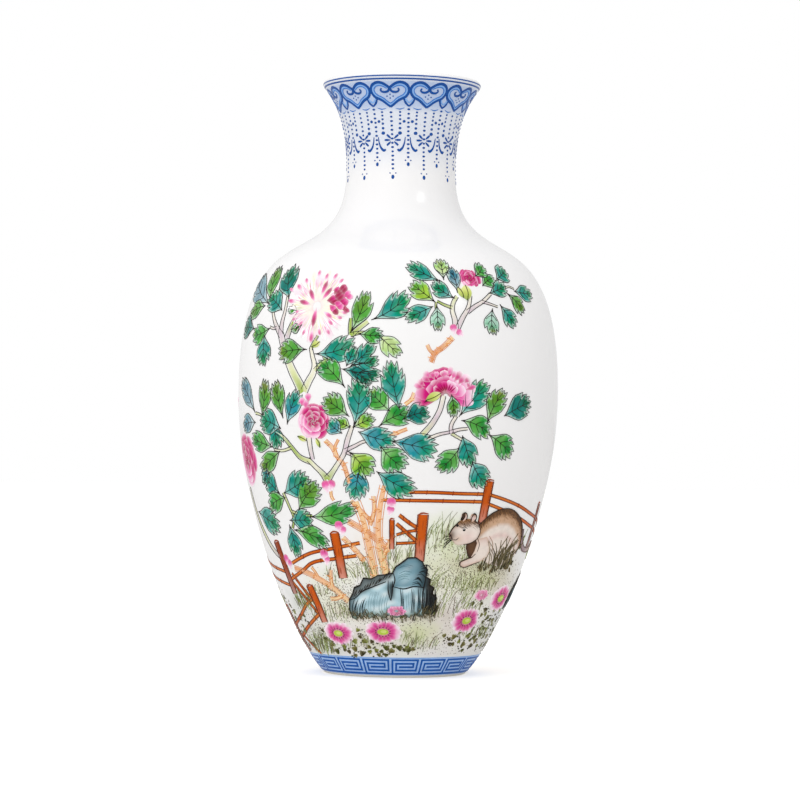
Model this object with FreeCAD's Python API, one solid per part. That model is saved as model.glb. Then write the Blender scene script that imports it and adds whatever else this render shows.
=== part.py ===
import FreeCAD, Part
import math
import os

# A porcelain vase: three thrown sections joined with slip, then glazed outside, inside and under
# the base. Millimetres, +Z up. The origin is the centre of the foot, on the standing surface.

# Driving dimensions
HEIGHT = 200.0           # foot to lip
BELLY_RADIUS = 54.0      # widest, glaze included
BELLY_HEIGHT = 97.0      # level of the widest girth, where the two halves of the body meet
NECK_RADIUS = 18.45      # narrowest
NECK_HEIGHT = 170.0
COLLAR_HEIGHT = 151.0    # level at which the neck is joined to the shoulder
GLAZE = 0.3              # thickness of the fired glaze
SLIP = 1.0               # height of a ring of joining slip

FOOT_RADIUS = 24.4       # outside of the foot, where the curve of the body starts
FOOT_EDGE = 0.9          # height of that edge, and size of the rounding under it
FOOT_RING_WIDTH = 4.2    # solid ring that the vase stands on
BASE_RECESS = 4.5        # depth of the glazed hollow under the base
FLOOR_HEIGHT = 9.0       # glazed floor inside, on the axis
BOWL_TOP = 21.0          # level under which the inside rounds into the floor

LIP_ROUNDING = 1.2                # half the wall's thickness at the lip
LIP_FLARE = math.radians(33.0)    # lean of the flared mouth from the axis
LIP_HEIGHT = HEIGHT - LIP_ROUNDING
LIP_RADIUS = 25.5                 # middle of the wall at the lip
CREST = 0.0                       # top of the lip, and its two sides, as angles from the axis
OUTSIDE = LIP_FLARE + math.pi / 2
INSIDE = LIP_FLARE - math.pi / 2
WALL_AT_FOOT = 3.8
WALL_AT_LIP = 2 * LIP_ROUNDING

# The outside of the glaze from the foot up to the lip, as radius and height
OUTLINE = [
    (FOOT_RADIUS, FOOT_EDGE),
    (27.5, 4.9),
    (33.9, 16.0),
    (42.9, 37.0),
    (49.6, 60.0),
    (53.0, 78.0),
    (BELLY_RADIUS, BELLY_HEIGHT),
    (52.6, 115.0),
    (49.0, 128.0),
    (42.8, 137.6),
    (35.2, 143.2),
    (27.3, 148.2),
    (22.0, 154.0),
    (19.2, 161.5),
    (NECK_RADIUS, NECK_HEIGHT),
    (19.1, 180.5),
    (20.4, 186.5),
    (22.5, 192.0),
]

UP = FreeCAD.Vector(0, 0, 1)


def point(radius, height):
    """A point of the half section, which is drawn in the XZ plane."""
    return FreeCAD.Vector(radius, 0, height)


def spline(points):
    """A smooth curve through the points."""
    curve = Part.BSplineCurve()
    curve.interpolate(Points=points)
    return curve


def beside(curve, depth_at, count=80):
    """Points along the left side of a curve, at a depth that depends on the height."""
    first, last = curve.FirstParameter, curve.LastParameter
    points = []
    for step in range(count + 1):
        at = first + (last - first) * step / count
        here = curve.value(at)
        along = curve.tangent(at)[0]
        left = FreeCAD.Vector(-along.z, 0, along.x)
        points.append(here + left * depth_at(here.z))
    return points


def wall_depth(height):
    """The wall thins evenly from the foot to the lip."""
    return WALL_AT_FOOT + (WALL_AT_LIP - WALL_AT_FOOT) * height / LIP_HEIGHT


def glaze_depth(height):
    return GLAZE


def lip_point(depth, turn):
    """A point of the rounded lip, at an angle from the axis."""
    way = FreeCAD.Vector(math.sin(turn), 0, math.cos(turn))
    return point(LIP_RADIUS, LIP_HEIGHT) + way * (LIP_ROUNDING - depth)


def line(start, end):
    return Part.LineSegment(start, end).toShape()


def lip_arc(depth, first, last):
    middle = (first + last) / 2
    return Part.Arc(lip_point(depth, first), lip_point(depth, middle), lip_point(depth, last)).toShape()


def lathe(edges):
    """Turns a closed half section about the axis."""
    solid = Part.Face(Part.Wire(edges)).revolve(FreeCAD.Vector(0, 0, 0), UP, 360)
    if solid.Volume < 0:
        solid.reverse()
    return solid


def slab(solid, low, high):
    """The part of a solid between two levels."""
    size = 4 * BELLY_RADIUS
    block = Part.makeBox(size, size, high - low, FreeCAD.Vector(-size / 2, -size / 2, low))
    return solid.common(block).Solids[0]


# The four curves that the wall's section is drawn with. The inside ones run down from the lip.
glaze_outside = spline([point(*place) for place in OUTLINE] + [lip_point(0, OUTSIDE)])
clay_outside = spline(beside(glaze_outside, glaze_depth)[:-1] + [lip_point(GLAZE, OUTSIDE)])
inside_wall = [place for place in beside(glaze_outside, wall_depth)[:-1] if place.z > BOWL_TOP]
glaze_inside = spline([lip_point(0, INSIDE)] + inside_wall[::-1])
clay_inside = spline([lip_point(GLAZE, INSIDE)] + beside(glaze_inside, glaze_depth)[1:])

# The foot ring, which is bare clay, and the level of the base's underside before it is glazed
ring_outer = clay_outside.value(clay_outside.FirstParameter)
ring_inner = FOOT_RADIUS - FOOT_EDGE - FOOT_RING_WIDTH
base_clay = BASE_RECESS + GLAZE


def floor_edges(wall, depth):
    """Rounds the lower end of an inside wall into the flat floor, and runs on to the axis."""
    start = wall.value(wall.LastParameter)
    along = wall.tangent(wall.LastParameter)[0]
    level = FLOOR_HEIGHT - depth
    run = (level - start.z) / along.z
    corner = start + along * run
    end = corner - FreeCAD.Vector(run, 0, 0)
    bend = Part.BezierCurve()
    bend.setPoles([start, start + along * run * 0.6, end + FreeCAD.Vector(run * 0.6, 0, 0), end])
    return [bend.toShape(), line(end, point(0, level))]


def rounding(start, end, corner):
    """A quarter round between two points, towards the corner that it takes off."""
    middle = (start + end) / 2
    return Part.Arc(start, middle + (corner - middle) * 0.41, end).toShape()


def clay_wall():
    """The whole fired wall: foot ring, base, flank, lip and inside."""
    outer_foot = point(ring_outer.x - ring_outer.z, 0)
    inner_side = point(ring_inner, FOOT_EDGE)
    inner_foot = point(ring_inner + FOOT_EDGE, 0)
    return lathe([
        line(point(0, base_clay), point(ring_inner, base_clay)),
        line(point(ring_inner, base_clay), inner_side),
        rounding(inner_side, inner_foot, point(ring_inner, 0)),
        line(inner_foot, outer_foot),
        rounding(outer_foot, ring_outer, point(ring_outer.x, 0)),
        clay_outside.toShape(),
        lip_arc(GLAZE, OUTSIDE, INSIDE),
        clay_inside.toShape(),
        *floor_edges(clay_inside, GLAZE),
        line(point(0, FLOOR_HEIGHT - GLAZE), point(0, base_clay)),
    ])


def outer_coat():
    """Glaze from the foot's edge up to the crest of the lip."""
    return lathe([
        line(ring_outer, glaze_outside.value(glaze_outside.FirstParameter)),
        glaze_outside.toShape(),
        lip_arc(0, OUTSIDE, CREST),
        line(lip_point(0, CREST), lip_point(GLAZE, CREST)),
        lip_arc(GLAZE, CREST, OUTSIDE),
        clay_outside.toShape(),
    ])


def inner_coat():
    """Glaze from the crest of the lip down over the floor."""
    return lathe([
        line(lip_point(GLAZE, CREST), lip_point(0, CREST)),
        lip_arc(0, CREST, INSIDE),
        glaze_inside.toShape(),
        *floor_edges(glaze_inside, 0),
        line(point(0, FLOOR_HEIGHT), point(0, FLOOR_HEIGHT - GLAZE)),
        *reversed(floor_edges(clay_inside, GLAZE)),
        clay_inside.toShape(),
        lip_arc(GLAZE, INSIDE, CREST),
    ])


def base_coat():
    """Glaze on the base and on the inside of the foot ring, which stops short of the foot."""
    inner_side = ring_inner - GLAZE
    return lathe([
        line(point(0, BASE_RECESS), point(inner_side, BASE_RECESS)),
        line(point(inner_side, BASE_RECESS), point(inner_side, FOOT_EDGE)),
        line(point(inner_side, FOOT_EDGE), point(ring_inner, FOOT_EDGE)),
        line(point(ring_inner, FOOT_EDGE), point(ring_inner, base_clay)),
        line(point(ring_inner, base_clay), point(0, base_clay)),
        line(point(0, base_clay), point(0, BASE_RECESS)),
    ])


wall = clay_wall()
belly_low = BELLY_HEIGHT - SLIP / 2
belly_high = BELLY_HEIGHT + SLIP / 2
collar_low = COLLAR_HEIGHT - SLIP / 2
collar_high = COLLAR_HEIGHT + SLIP / 2

nodes = {
    "lower_body": slab(wall, -1, belly_low),
    "belly_joint_slip": slab(wall, belly_low, belly_high),
    "shoulder": slab(wall, belly_high, collar_low),
    "neck_joint_slip": slab(wall, collar_low, collar_high),
    "neck": slab(wall, collar_high, HEIGHT + 1),
    "outer_glaze": outer_coat(),
    "inner_glaze": inner_coat(),
    "base_glaze": base_coat(),
}

os.makedirs("parts", exist_ok=True)
for name, shape in nodes.items():
    shape.exportStep(f"parts/{name}.step")
    box = shape.optimalBoundingBox()
    print(f"{name:18} {shape.isValid()} {len(shape.Solids)} {shape.Volume:9.1f} mm3"
          f"  z {box.ZMin:6.2f} to {box.ZMax:6.2f}  radius {box.XMax:5.2f}")
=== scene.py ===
import bpy
import math
import random
import numpy as np
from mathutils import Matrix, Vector
from mathutils.geometry import delaunay_2d_cdt


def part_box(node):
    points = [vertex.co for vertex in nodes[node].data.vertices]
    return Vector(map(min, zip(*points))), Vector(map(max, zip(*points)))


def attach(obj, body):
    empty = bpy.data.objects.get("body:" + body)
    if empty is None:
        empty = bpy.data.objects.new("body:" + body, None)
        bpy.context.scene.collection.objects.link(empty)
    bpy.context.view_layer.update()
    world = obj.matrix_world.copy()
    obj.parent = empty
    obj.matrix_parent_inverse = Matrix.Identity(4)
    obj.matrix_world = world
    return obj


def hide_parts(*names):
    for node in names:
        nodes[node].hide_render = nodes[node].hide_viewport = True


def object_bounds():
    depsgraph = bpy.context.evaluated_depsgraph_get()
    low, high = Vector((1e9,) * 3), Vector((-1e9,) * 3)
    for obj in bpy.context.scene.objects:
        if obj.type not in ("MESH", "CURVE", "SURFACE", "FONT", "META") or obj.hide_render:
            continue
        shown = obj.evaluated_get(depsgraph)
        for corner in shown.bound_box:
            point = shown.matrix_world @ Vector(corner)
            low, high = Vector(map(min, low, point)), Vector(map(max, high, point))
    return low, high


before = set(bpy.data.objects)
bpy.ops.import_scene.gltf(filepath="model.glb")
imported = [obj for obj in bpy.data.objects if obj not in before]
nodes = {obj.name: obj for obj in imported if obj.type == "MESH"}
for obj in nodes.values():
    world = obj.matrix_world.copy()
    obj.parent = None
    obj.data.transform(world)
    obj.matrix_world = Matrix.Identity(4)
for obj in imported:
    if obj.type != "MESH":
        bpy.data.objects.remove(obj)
cad_low, cad_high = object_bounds()

# A turned porcelain vase and the enamel painted on its glaze. The frame is in metres; the painting
# is laid out in turns round the axis (degrees from the front, growing to the right), heights and
# widths in millimetres, and is put on the glaze by on_glaze().
MM = 0.001
FLAKE = 0.05             # how far a layer of enamel stands above the glaze
LAYER = 0.022            # how much each further layer adds
CREASE = 50              # degrees; sharper edges stay crisp
SUNK = -0.06             # the underside of every stroke lies inside the glaze
INK = 0.3                # width of a drawn outline


# ---------------------------------------------------------------- colour

def paint(code):
    """A colour in linear light, from its six hex digits."""
    parts = [int(code[i:i + 2], 16) / 255 for i in (0, 2, 4)]
    return np.array([p / 12.92 if p < 0.04045 else ((p + 0.055) / 1.055) ** 2.4 for p in parts])


def blend(first, second, share):
    """Between two colours; share may be one number or one for each point."""
    share = np.clip(np.asarray(share, float), 0, 1)[..., None]
    return np.asarray(first) * (1 - share) + np.asarray(second) * share


def ramp(at, stops):
    """Colours along a row of evenly spaced stops."""
    at = np.clip(np.asarray(at, float), 0, 1) * (len(stops) - 1)
    places = np.arange(len(stops))
    return np.stack([np.interp(at, places, [s[c] for s in stops]) for c in range(3)], -1)


def ease(value, low, high):
    """0 below low, 1 above high, and smooth between."""
    t = np.clip((np.asarray(value, float) - low) / (high - low), 0, 1)
    return t * t * (3 - 2 * t)


def mottle(x, y, seed=0.0):
    """Uneven colour, about -1 to 1, that drifts over a few millimetres."""
    return (np.sin(1.3 * x + 2.1 * seed + 1.7 * np.sin(0.9 * y + seed))
            + np.sin(1.9 * y - 0.7 * x + 1.3 * seed + 1.1 * np.sin(1.7 * x))) / 2


WHITE = paint("FFFFFF")
INK_BROWN = paint("1F1814")
COBALT = paint("124E9C")
MID_BLUE = paint("3F7AC8")
SKY_BLUE = paint("86B2EA")


# ---------------------------------------------------------------- the turned shape

LIP_CREST = cad_high.z - 0.5 * MM      # above this the lip turns over
LIP_FROM = cad_high.z - 3 * MM         # above this the lip is tight
FLOOR_TO = 10 * MM                     # below this the inside is floor
UPRIGHT = 0.02                         # a face whose normal leans less than this is neither in nor out
SHOWN_GAPS = (2.5 * MM, 0.12 * MM)     # between the points of a section, on the flank and at the lip
CLAY_GAPS = (4 * MM, 0.3 * MM)


def half_section(name, outside):
    """The shown side and the clay side of a glaze coat, each as (radius, height) in metres."""
    mesh = nodes[name].data
    shown, hidden = set(), set()
    for face in mesh.polygons:
        away = face.normal.x * face.center.x + face.normal.y * face.center.y
        away /= max(math.hypot(face.center.x, face.center.y), 1e-6)
        level = face.center.z
        on_top = level > LIP_CREST or (not outside and level < FLOOR_TO)
        faces_out = away > UPRIGHT if outside else away < -UPRIGHT
        side = shown if faces_out or (on_top and face.normal.z > 0.5) else hidden
        for v in face.vertices:
            co = mesh.vertices[v].co
            side.add((round(math.hypot(co.x, co.y), 6), round(co.z, 6)))
    down = sorted(shown, key=lambda p: (-p[1], -p[0]))
    clay = sorted(hidden, key=lambda p: (p[1], p[0]))
    return down, clay


def thin_out(points, gap, lip_gap):
    """Leaves out points that are nearer than a gap, which is small where the lip is tight."""
    kept = [points[0]]
    for p in points[1:-1]:
        need = lip_gap if p[1] > LIP_FROM else gap
        if math.dist(p, kept[-1]) >= need and math.dist(p, points[-1]) >= need * 0.5:
            kept.append(p)
    return kept + [points[-1]]


def flowing(points, step):
    """A smooth curve through the points, with a point at about every step."""
    pts = np.array(points, float)
    chord = np.r_[0, np.cumsum(np.hypot(*np.diff(pts, axis=0).T))]
    slope = np.gradient(pts, chord, axis=0)
    made = []
    for i in range(len(pts) - 1):
        span = chord[i + 1] - chord[i]
        parts = max(1, math.ceil(span / (step(pts[i]) if callable(step) else step)))
        for t in np.arange(parts) / parts:
            a, b = 2 * t**3 - 3 * t**2 + 1, t**3 - 2 * t**2 + t
            c, d = 3 * t**2 - 2 * t**3, t**3 - t**2
            made.append(a * pts[i] + b * span * slope[i] + c * pts[i + 1] + d * span * slope[i + 1])
    made.append(pts[-1])
    return np.array(made)


def shown_curve(points, step):
    """The shown side of a coat as a smooth curve, with short steps where the lip is tight."""
    return flowing(thin_out(points, *SHOWN_GAPS), lambda p: 0.2 * MM if p[1] > LIP_FROM else step)


outer_down, outer_clay = half_section("outer_glaze", True)
outer_down = shown_curve(outer_down, 0.85 * MM)
FLANK = outer_down[::-1] / MM                      # radius and height of the glaze, from the foot up
LEAN = np.gradient(FLANK[:, 0], FLANK[:, 1] + np.arange(len(FLANK)) * 1e-9)


def radius_at(height):
    """The glaze's radius at a height, in millimetres."""
    return np.interp(height, FLANK[:, 1], FLANK[:, 0])


def on_glaze(turn, height, lift):
    """Points standing off the glaze, in metres."""
    turn, height, lift = (np.asarray(a, float) for a in (turn, height, lift))
    lean = np.interp(height, FLANK[:, 1], LEAN)
    stretch = np.sqrt(1 + lean * lean)
    r = radius_at(height) + lift / stretch
    z = height - lift * lean / stretch
    a = np.radians(turn)
    return np.stack([r * np.sin(a), -r * np.cos(a), z], -1) * MM


def per_degree(height):
    """Millimetres round the glaze in one degree."""
    return float(radius_at(height)) * math.pi / 180


def wrapped(turn):
    """A turn brought between -180 and 180 degrees."""
    return (turn + 180) % 360 - 180


# ---------------------------------------------------------------- strokes of enamel

HOOP_STEPS = 180         # round a ring
EDGE = np.array([-1, -0.78, 0.78, 1])       # where the columns of a plain stroke lie across it


def top_of(layer):
    """How high a layer of enamel stands above the glaze."""
    return FLAKE + layer * LAYER


class Enamel:
    """Strokes of one kind, gathered into one mesh of thin closed flakes with a colour at each point."""

    def __init__(self, surface=on_glaze, span=per_degree):
        self.surface, self.span = surface, span
        self.turns, self.heights, self.lifts, self.tones = [], [], [], []
        self.faces, self.count = [], 0

    def add(self, turn, height, lift, tone, faces):
        self.turns.append(np.asarray(turn, float))
        self.heights.append(np.asarray(height, float))
        self.lifts.append(np.asarray(lift, float))
        self.tones.append(np.broadcast_to(tone, (len(turn), 3)))
        self.faces += [tuple(int(v) + self.count for v in f) for f in faces]
        self.count += len(turn)

    def flake(self, rim, tone_at, layer=0, grain=0.9, dome=0.03):
        """A closed flake inside a rim of (turn, height). tone_at(turn, height, depth inside the rim)."""
        rim = np.array(rim, float)
        middle = (rim.min(0) + rim.max(0)) / 2
        scale = np.array([self.span(middle[1]), 1.0])
        flat = (rim - middle) * scale
        edge = []
        for a, b in zip(flat, np.roll(flat, -1, 0)):
            parts = max(1, math.ceil(math.dist(a, b) / grain))
            edge += [a + (b - a) * i / parts for i in range(parts)]
        edge = np.array(edge)
        after = np.roll(edge, -1, 0)
        low, high = edge.min(0), edge.max(0)
        xs = np.arange(low[0], high[0], grain)
        ys = np.arange(low[1], high[1], grain * 0.87)
        grid = np.array([(x + (row % 2) * grain / 2, y) for row, y in enumerate(ys) for x in xs])
        if len(grid):
            far, inside = depth_inside(grid, edge, after)
            grid = grid[inside & (far > grain * 0.45)]
        points = np.vstack([edge, grid]) if len(grid) else edge
        verts, _, tris, *_ = delaunay_2d_cdt(
            [Vector(p) for p in points], [], [list(range(len(edge)))], 1, 1e-5)
        flat = np.array([v[:] for v in verts])
        deep, _ = depth_inside(flat, edge, after)
        place = flat / scale + middle
        tone = tone_at(place[:, 0], place[:, 1], deep)
        lift = top_of(layer) + dome * (1 - np.exp(-deep / 0.7))
        n = len(flat)
        faces = [tuple(t) for t in tris] + [tuple(v + n for v in reversed(t)) for t in tris]
        sides = {}
        for t in tris:
            for a, b in zip(t, t[1:] + t[:1]):
                if sides.pop((b, a), None) is None:
                    sides[(a, b)] = True
        faces += [(b, a, a + n, b + n) for a, b in sides]
        self.add(np.r_[place[:, 0], place[:, 0]], np.r_[place[:, 1], place[:, 1]],
                 np.r_[lift, np.full(n, SUNK)], np.vstack([tone, tone]), faces)

    def stroke(self, path, width, tone, layer=0, columns=4, closed=False, smooth=True, body=0.05,
               step=0.8, edge_tone=None):
        """A brush stroke along (turn, height) points. width and tone may be lists along the stroke."""
        path = np.array(path, float)
        scale = np.array([self.span(path[:, 1].mean()), 1.0])
        flat = path * scale
        if closed:
            flat = np.vstack([flat, flat[:1]])
        line = flowing(flat, step) if smooth and len(flat) > 2 else stepped(flat, step)
        along = np.gradient(line, axis=0)
        if closed:
            along[0] = along[-1] = line[1] - line[-2]
        along /= np.maximum(np.hypot(*along.T), 1e-9)[:, None]
        left = np.stack([-along[:, 1], along[:, 0]], -1)
        run = np.linspace(0, 1, len(line))
        widths = np.interp(run, np.linspace(0, 1, len(np.atleast_1d(width))), np.atleast_1d(width))
        tones = ramp(run, tone) if isinstance(tone, list) else np.broadcast_to(tone, (len(line), 3))
        across = EDGE if columns == 4 else np.linspace(-1, 1, columns)
        place = (line[:, None] + left[:, None] * (across[None, :, None] * widths[:, None, None] / 2))
        place = place.reshape(-1, 2) / scale
        rise = np.full(columns, top_of(layer) + body)
        rise[0] = rise[-1] = SUNK
        if columns > 4:
            rise[1] = rise[-2] = top_of(layer) + body * 0.6
        shade = np.repeat(tones[:, None], columns, 1)
        if edge_tone is not None:
            shade = blend(shade, edge_tone, np.abs(across) ** 3 * 0.8)
        m, rows = columns, len(line)
        faces = []
        for i in range(rows - 1):
            a, b = i * m, (i + 1) * m
            faces += [(a + j, b + j, b + j + 1, a + j + 1) for j in range(m - 1)]
            faces.append((a + m - 1, b + m - 1, b, a))
        faces.append(tuple(range(m)))
        faces.append(tuple(reversed(range((rows - 1) * m, rows * m))))
        self.add(place[:, 0], place[:, 1], np.tile(rise, rows), shade.reshape(-1, 3), faces)

    def dab(self, at, size, tone, layer=0):
        """A short touch of a full brush: (width, height) in millimetres."""
        k = self.span(at[1])
        rim = []
        for i in range(12):
            a = math.tau * i / 12
            x, y = math.cos(a) * size[0] / 2, math.sin(a) * size[1] / 2
            rim.append((at[0] + x / k, at[1] + y))
        self.flake(rim, lambda t, h, d: np.broadcast_to(tone, (len(t), 3)), layer,
                   max(0.2, min(size) * 0.3), 0.05)

    def hoop(self, low, high, tone, layer=0, rows=2):
        """A band all the way round, between two heights."""
        levels = np.r_[low, np.linspace(low, high, rows), high]
        lifts = [SUNK] + [top_of(layer)] * rows + [SUNK]
        m = len(levels)
        turn = np.repeat(np.arange(HOOP_STEPS) * 360 / HOOP_STEPS - 180, m)
        faces = []
        for i in range(HOOP_STEPS):
            a, b = i * m, (i + 1) % HOOP_STEPS * m
            faces += [(a + j, b + j, b + (j + 1) % m, a + (j + 1) % m) for j in range(m)]
        self.add(turn, np.tile(levels, HOOP_STEPS), np.tile(lifts, HOOP_STEPS), tone, faces)

    def piece(self, name, material):
        """Makes the mesh, sets its colours and its layout, and puts it on the vase."""
        turn, height = np.concatenate(self.turns), np.concatenate(self.heights)
        mesh = bpy.data.meshes.new(name)
        mesh.from_pydata(self.surface(turn, height, np.concatenate(self.lifts)).tolist(), [], self.faces)
        colour = mesh.color_attributes.new("Enamel", "FLOAT_COLOR", "POINT")
        tones = np.c_[np.concatenate(self.tones), np.ones(len(turn))]
        colour.data.foreach_set("color", tones.astype(np.float32).ravel())
        corners = np.zeros(len(mesh.loops), np.int32)
        mesh.loops.foreach_get("vertex_index", corners)
        low, high = (turn.min(), height.min()), (turn.max(), height.max())
        layout = mesh.uv_layers.new(name="OFBake")
        u = 0.01 + 0.98 * (turn - low[0]) / (high[0] - low[0])
        v = 0.01 + 0.98 * (height - low[1]) / (high[1] - low[1])
        layout.data.foreach_set("uv", np.c_[u, v][corners].astype(np.float32).ravel())
        return put_on_vase(name, mesh, material)


def depth_inside(points, edge, after):
    """How far points are from an edge, and which are inside it."""
    p, a, b = points[:, None], edge[None], after[None]
    run = b - a
    t = np.clip(((p - a) * run).sum(-1) / np.maximum((run * run).sum(-1), 1e-12), 0, 1)
    far = np.sqrt((((a + run * t[..., None]) - p) ** 2).sum(-1)).min(1)
    crosses = (a[..., 1] > p[..., 1]) != (b[..., 1] > p[..., 1])
    rise = np.where(np.abs(run[..., 1]) < 1e-12, 1e-12, run[..., 1])
    at = a[..., 0] + (p[..., 1] - a[..., 1]) / rise * run[..., 0]
    return far, (crosses & (p[..., 0] < at)).sum(1) % 2 == 1


def stepped(points, step):
    """Straight runs between points, cut into steps."""
    made = []
    for a, b in zip(points[:-1], points[1:]):
        parts = max(1, math.ceil(math.dist(a, b) / step))
        made += [a + (b - a) * i / parts for i in range(parts)]
    return np.array(made + [points[-1]])


def new_object(name, data):
    """An object in the scene."""
    made = bpy.data.objects.new(name, data)
    bpy.context.scene.collection.objects.link(made)
    return made


def put_on_vase(name, mesh, material):
    """Makes a piece of the vase from a mesh."""
    piece = new_object(name, mesh)
    mesh.materials.clear()
    mesh.materials.append(material)
    mesh.shade_smooth()
    mesh.set_sharp_from_angle(angle=math.radians(CREASE))
    mesh.validate()
    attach(piece, "root")
    return piece


# ---------------------------------------------------------------- finishes

def new_tree(kind, name, inputs, outputs):
    """An empty tree of nodes with its named sockets, and the ends it is fed and read from."""
    tree = bpy.data.node_groups.new(name, kind)
    for way, sockets in (("INPUT", inputs), ("OUTPUT", outputs)):
        for label, sort in sockets:
            tree.interface.new_socket(name=label, in_out=way, socket_type="NodeSocket" + sort)
    return tree, tree.nodes.new("NodeGroupInput").outputs, tree.nodes.new("NodeGroupOutput")


def feed(tree, made, **links):
    """Feeds a node. Sockets are named, or given by number as _0, _1; values may be plain or linked."""
    for key, value in links.items():
        socket = made.inputs[int(key[1:])] if key[0] == "_" else made.inputs[key.replace("_", " ")]
        if isinstance(value, bpy.types.NodeSocket):
            tree.links.new(value, socket)
        else:
            socket.default_value = value
    return made


def node(tree, kind, settings=(), **links):
    """Adds a node with its settings, and feeds it."""
    made = tree.nodes.new(kind)
    for key, value in dict(settings).items():
        setattr(made, key, value)
    return feed(tree, made, **links)


def calc(tree, operation, a, b=0.0):
    return node(tree, "ShaderNodeMath", {"operation": operation}, _0=a, _1=b).outputs[0]


GRAIN_SCALE = 4200.0     # grains in a metre


def fired_colour_group():
    """Colour that pooled and thinned as it was fired, with a fine grain, and the height of its skin."""
    tree, given, result = new_tree(
        "ShaderNodeTree", "Fired colour",
        [("Place", "Vector"), ("Colour", "Color"), ("Pooling", "Float"), ("Pool size", "Float"),
         ("Grain", "Float")],
        [("Colour", "Color"), ("Height", "Float")])
    pools, grains = (
        node(tree, "ShaderNodeTexNoise", Vector=given["Place"], Scale=scale, Detail=detail).outputs["Fac"]
        for scale, detail in ((given["Pool size"], 3.0), (GRAIN_SCALE, 2.0)))
    lean = calc(tree, "MULTIPLY", calc(tree, "SUBTRACT", pools, 0.5), given["Pooling"])
    grit = calc(tree, "MULTIPLY", calc(tree, "SUBTRACT", grains, 0.5), given["Grain"])
    factor = calc(tree, "ADD", calc(tree, "ADD", lean, grit), 1.0)
    tint = node(tree, "ShaderNodeVectorMath", {"operation": "SCALE"}, _0=given["Colour"], Scale=factor)
    skin = calc(tree, "ADD", pools, calc(tree, "MULTIPLY", grains, 0.15))
    feed(tree, result, Colour=tint.outputs[0], Height=skin)
    return tree


FIRED = fired_colour_group()


def finish(name, colour, roughness, coat, pooling, pool_size, grain, relief, attribute=None, gloss=0.5):
    """A fired finish. With an attribute, its colour is what the brush left at each point."""
    material = bpy.data.materials.new(name)
    material.use_nodes = True
    tree = material.node_tree
    shader = feed(tree, tree.nodes["Principled BSDF"], Roughness=roughness, Coat_Weight=coat,
                  Coat_Roughness=0.06, IOR=1.5, Specular_IOR_Level=gloss)
    place = node(tree, "ShaderNodeTexCoord").outputs["Object"]
    fired = node(tree, "ShaderNodeGroup", {"node_tree": FIRED}, Place=place, Pooling=pooling,
                 Pool_size=pool_size, Grain=grain)
    if attribute:
        brushed = node(tree, "ShaderNodeVertexColor", {"layer_name": attribute}).outputs["Color"]
        feed(tree, fired, Colour=brushed)
    else:
        feed(tree, fired, Colour=(*colour, 1))
    feed(tree, shader, Base_Color=fired.outputs["Colour"])
    if relief:
        bump = node(tree, "ShaderNodeBump", Distance=relief * MM, Strength=1.0,
                    Height=fired.outputs["Height"])
        feed(tree, shader, Normal=bump.outputs["Normal"])
    return material


PORCELAIN = paint("F7F6F6")
# colour, roughness, coat, pooling, pool size, grain, relief
glaze_finish = finish("White glaze with washes", PORCELAIN, 0.15, 0.15, 0.02, 60.0, 0.006, 0.03, "Wash")
inside_finish = finish("White glaze", PORCELAIN, 0.1, 0.35, 0.03, 60.0, 0.008, 0.03)
clay_finish = finish("Bare porcelain clay", paint("EFEBE2"), 0.62, 0.0, 0.08, 300.0, 0.08, 0.03)
slip_finish = finish("Porcelain slip", paint("F2EEE6"), 0.55, 0.0, 0.06, 500.0, 0.05, 0.02)
enamel_finish = finish("Overglaze enamel", WHITE, 0.22, 0.0, 0.3, 420.0, 0.08, 0.02, "Enamel", 0.1)
ink_finish = finish("Brown-black line", INK_BROWN, 0.4, 0.0, 0.35, 700.0, 0.1, 0.0, "Enamel", 0.15)
cobalt_finish = finish("Blue enamel", COBALT, 0.22, 0.0, 0.3, 600.0, 0.06, 0.015, "Enamel", 0.15)
bead_finish = finish("Cobalt beads", COBALT, 0.25, 0.1, 0.35, 700.0, 0.05, 0.0, gloss=0.25)
dot_finish = finish("Umber stipple", paint("5E4A30"), 0.4, 0.0, 0.6, 300.0, 0.1, 0.0, gloss=0.15)


# ---------------------------------------------------------------- trees of geometry nodes

def growing_tree(name, inputs):
    """A geometry tree with a Geometry input, further named inputs, and a material."""
    return new_tree("GeometryNodeTree", name, [("Geometry", "Geometry"), *inputs, ("Finish", "Material")],
                    [("Geometry", "Geometry")])


def close_tree(tree, given, result, geometry):
    """Every tree ends by making its copies real and giving them their finish."""
    real = node(tree, "GeometryNodeRealizeInstances", Geometry=geometry).outputs[0]
    done = node(tree, "GeometryNodeSetMaterial", Geometry=real, Material=given["Finish"])
    feed(tree, result, Geometry=done.outputs[0])
    return tree


def painted_value(tree, name, kind):
    """What was left at each point under a name."""
    return node(tree, "GeometryNodeInputNamedAttribute", {"data_type": kind}, Name=name).outputs[0]


def smooth_sides(tree, geometry, degrees):
    """Smooth faces, with edges sharper than an angle kept crisp."""
    smooth = node(tree, "GeometryNodeSetShadeSmooth", Geometry=geometry).outputs[0]
    angle = node(tree, "GeometryNodeInputMeshEdgeAngle").outputs["Unsigned Angle"]
    crisp = node(tree, "FunctionNodeCompare", {"operation": "GREATER_THAN"}, _0=angle,
                 _1=math.radians(degrees)).outputs[0]
    return node(tree, "GeometryNodeSetShadeSmooth", {"domain": "EDGE"}, Geometry=smooth, Selection=crisp,
                Shade_Smooth=False).outputs[0]


SAME_PLACE = 2e-6        # metres; points nearer than this are one
BEAD_CREASE = 80


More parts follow.
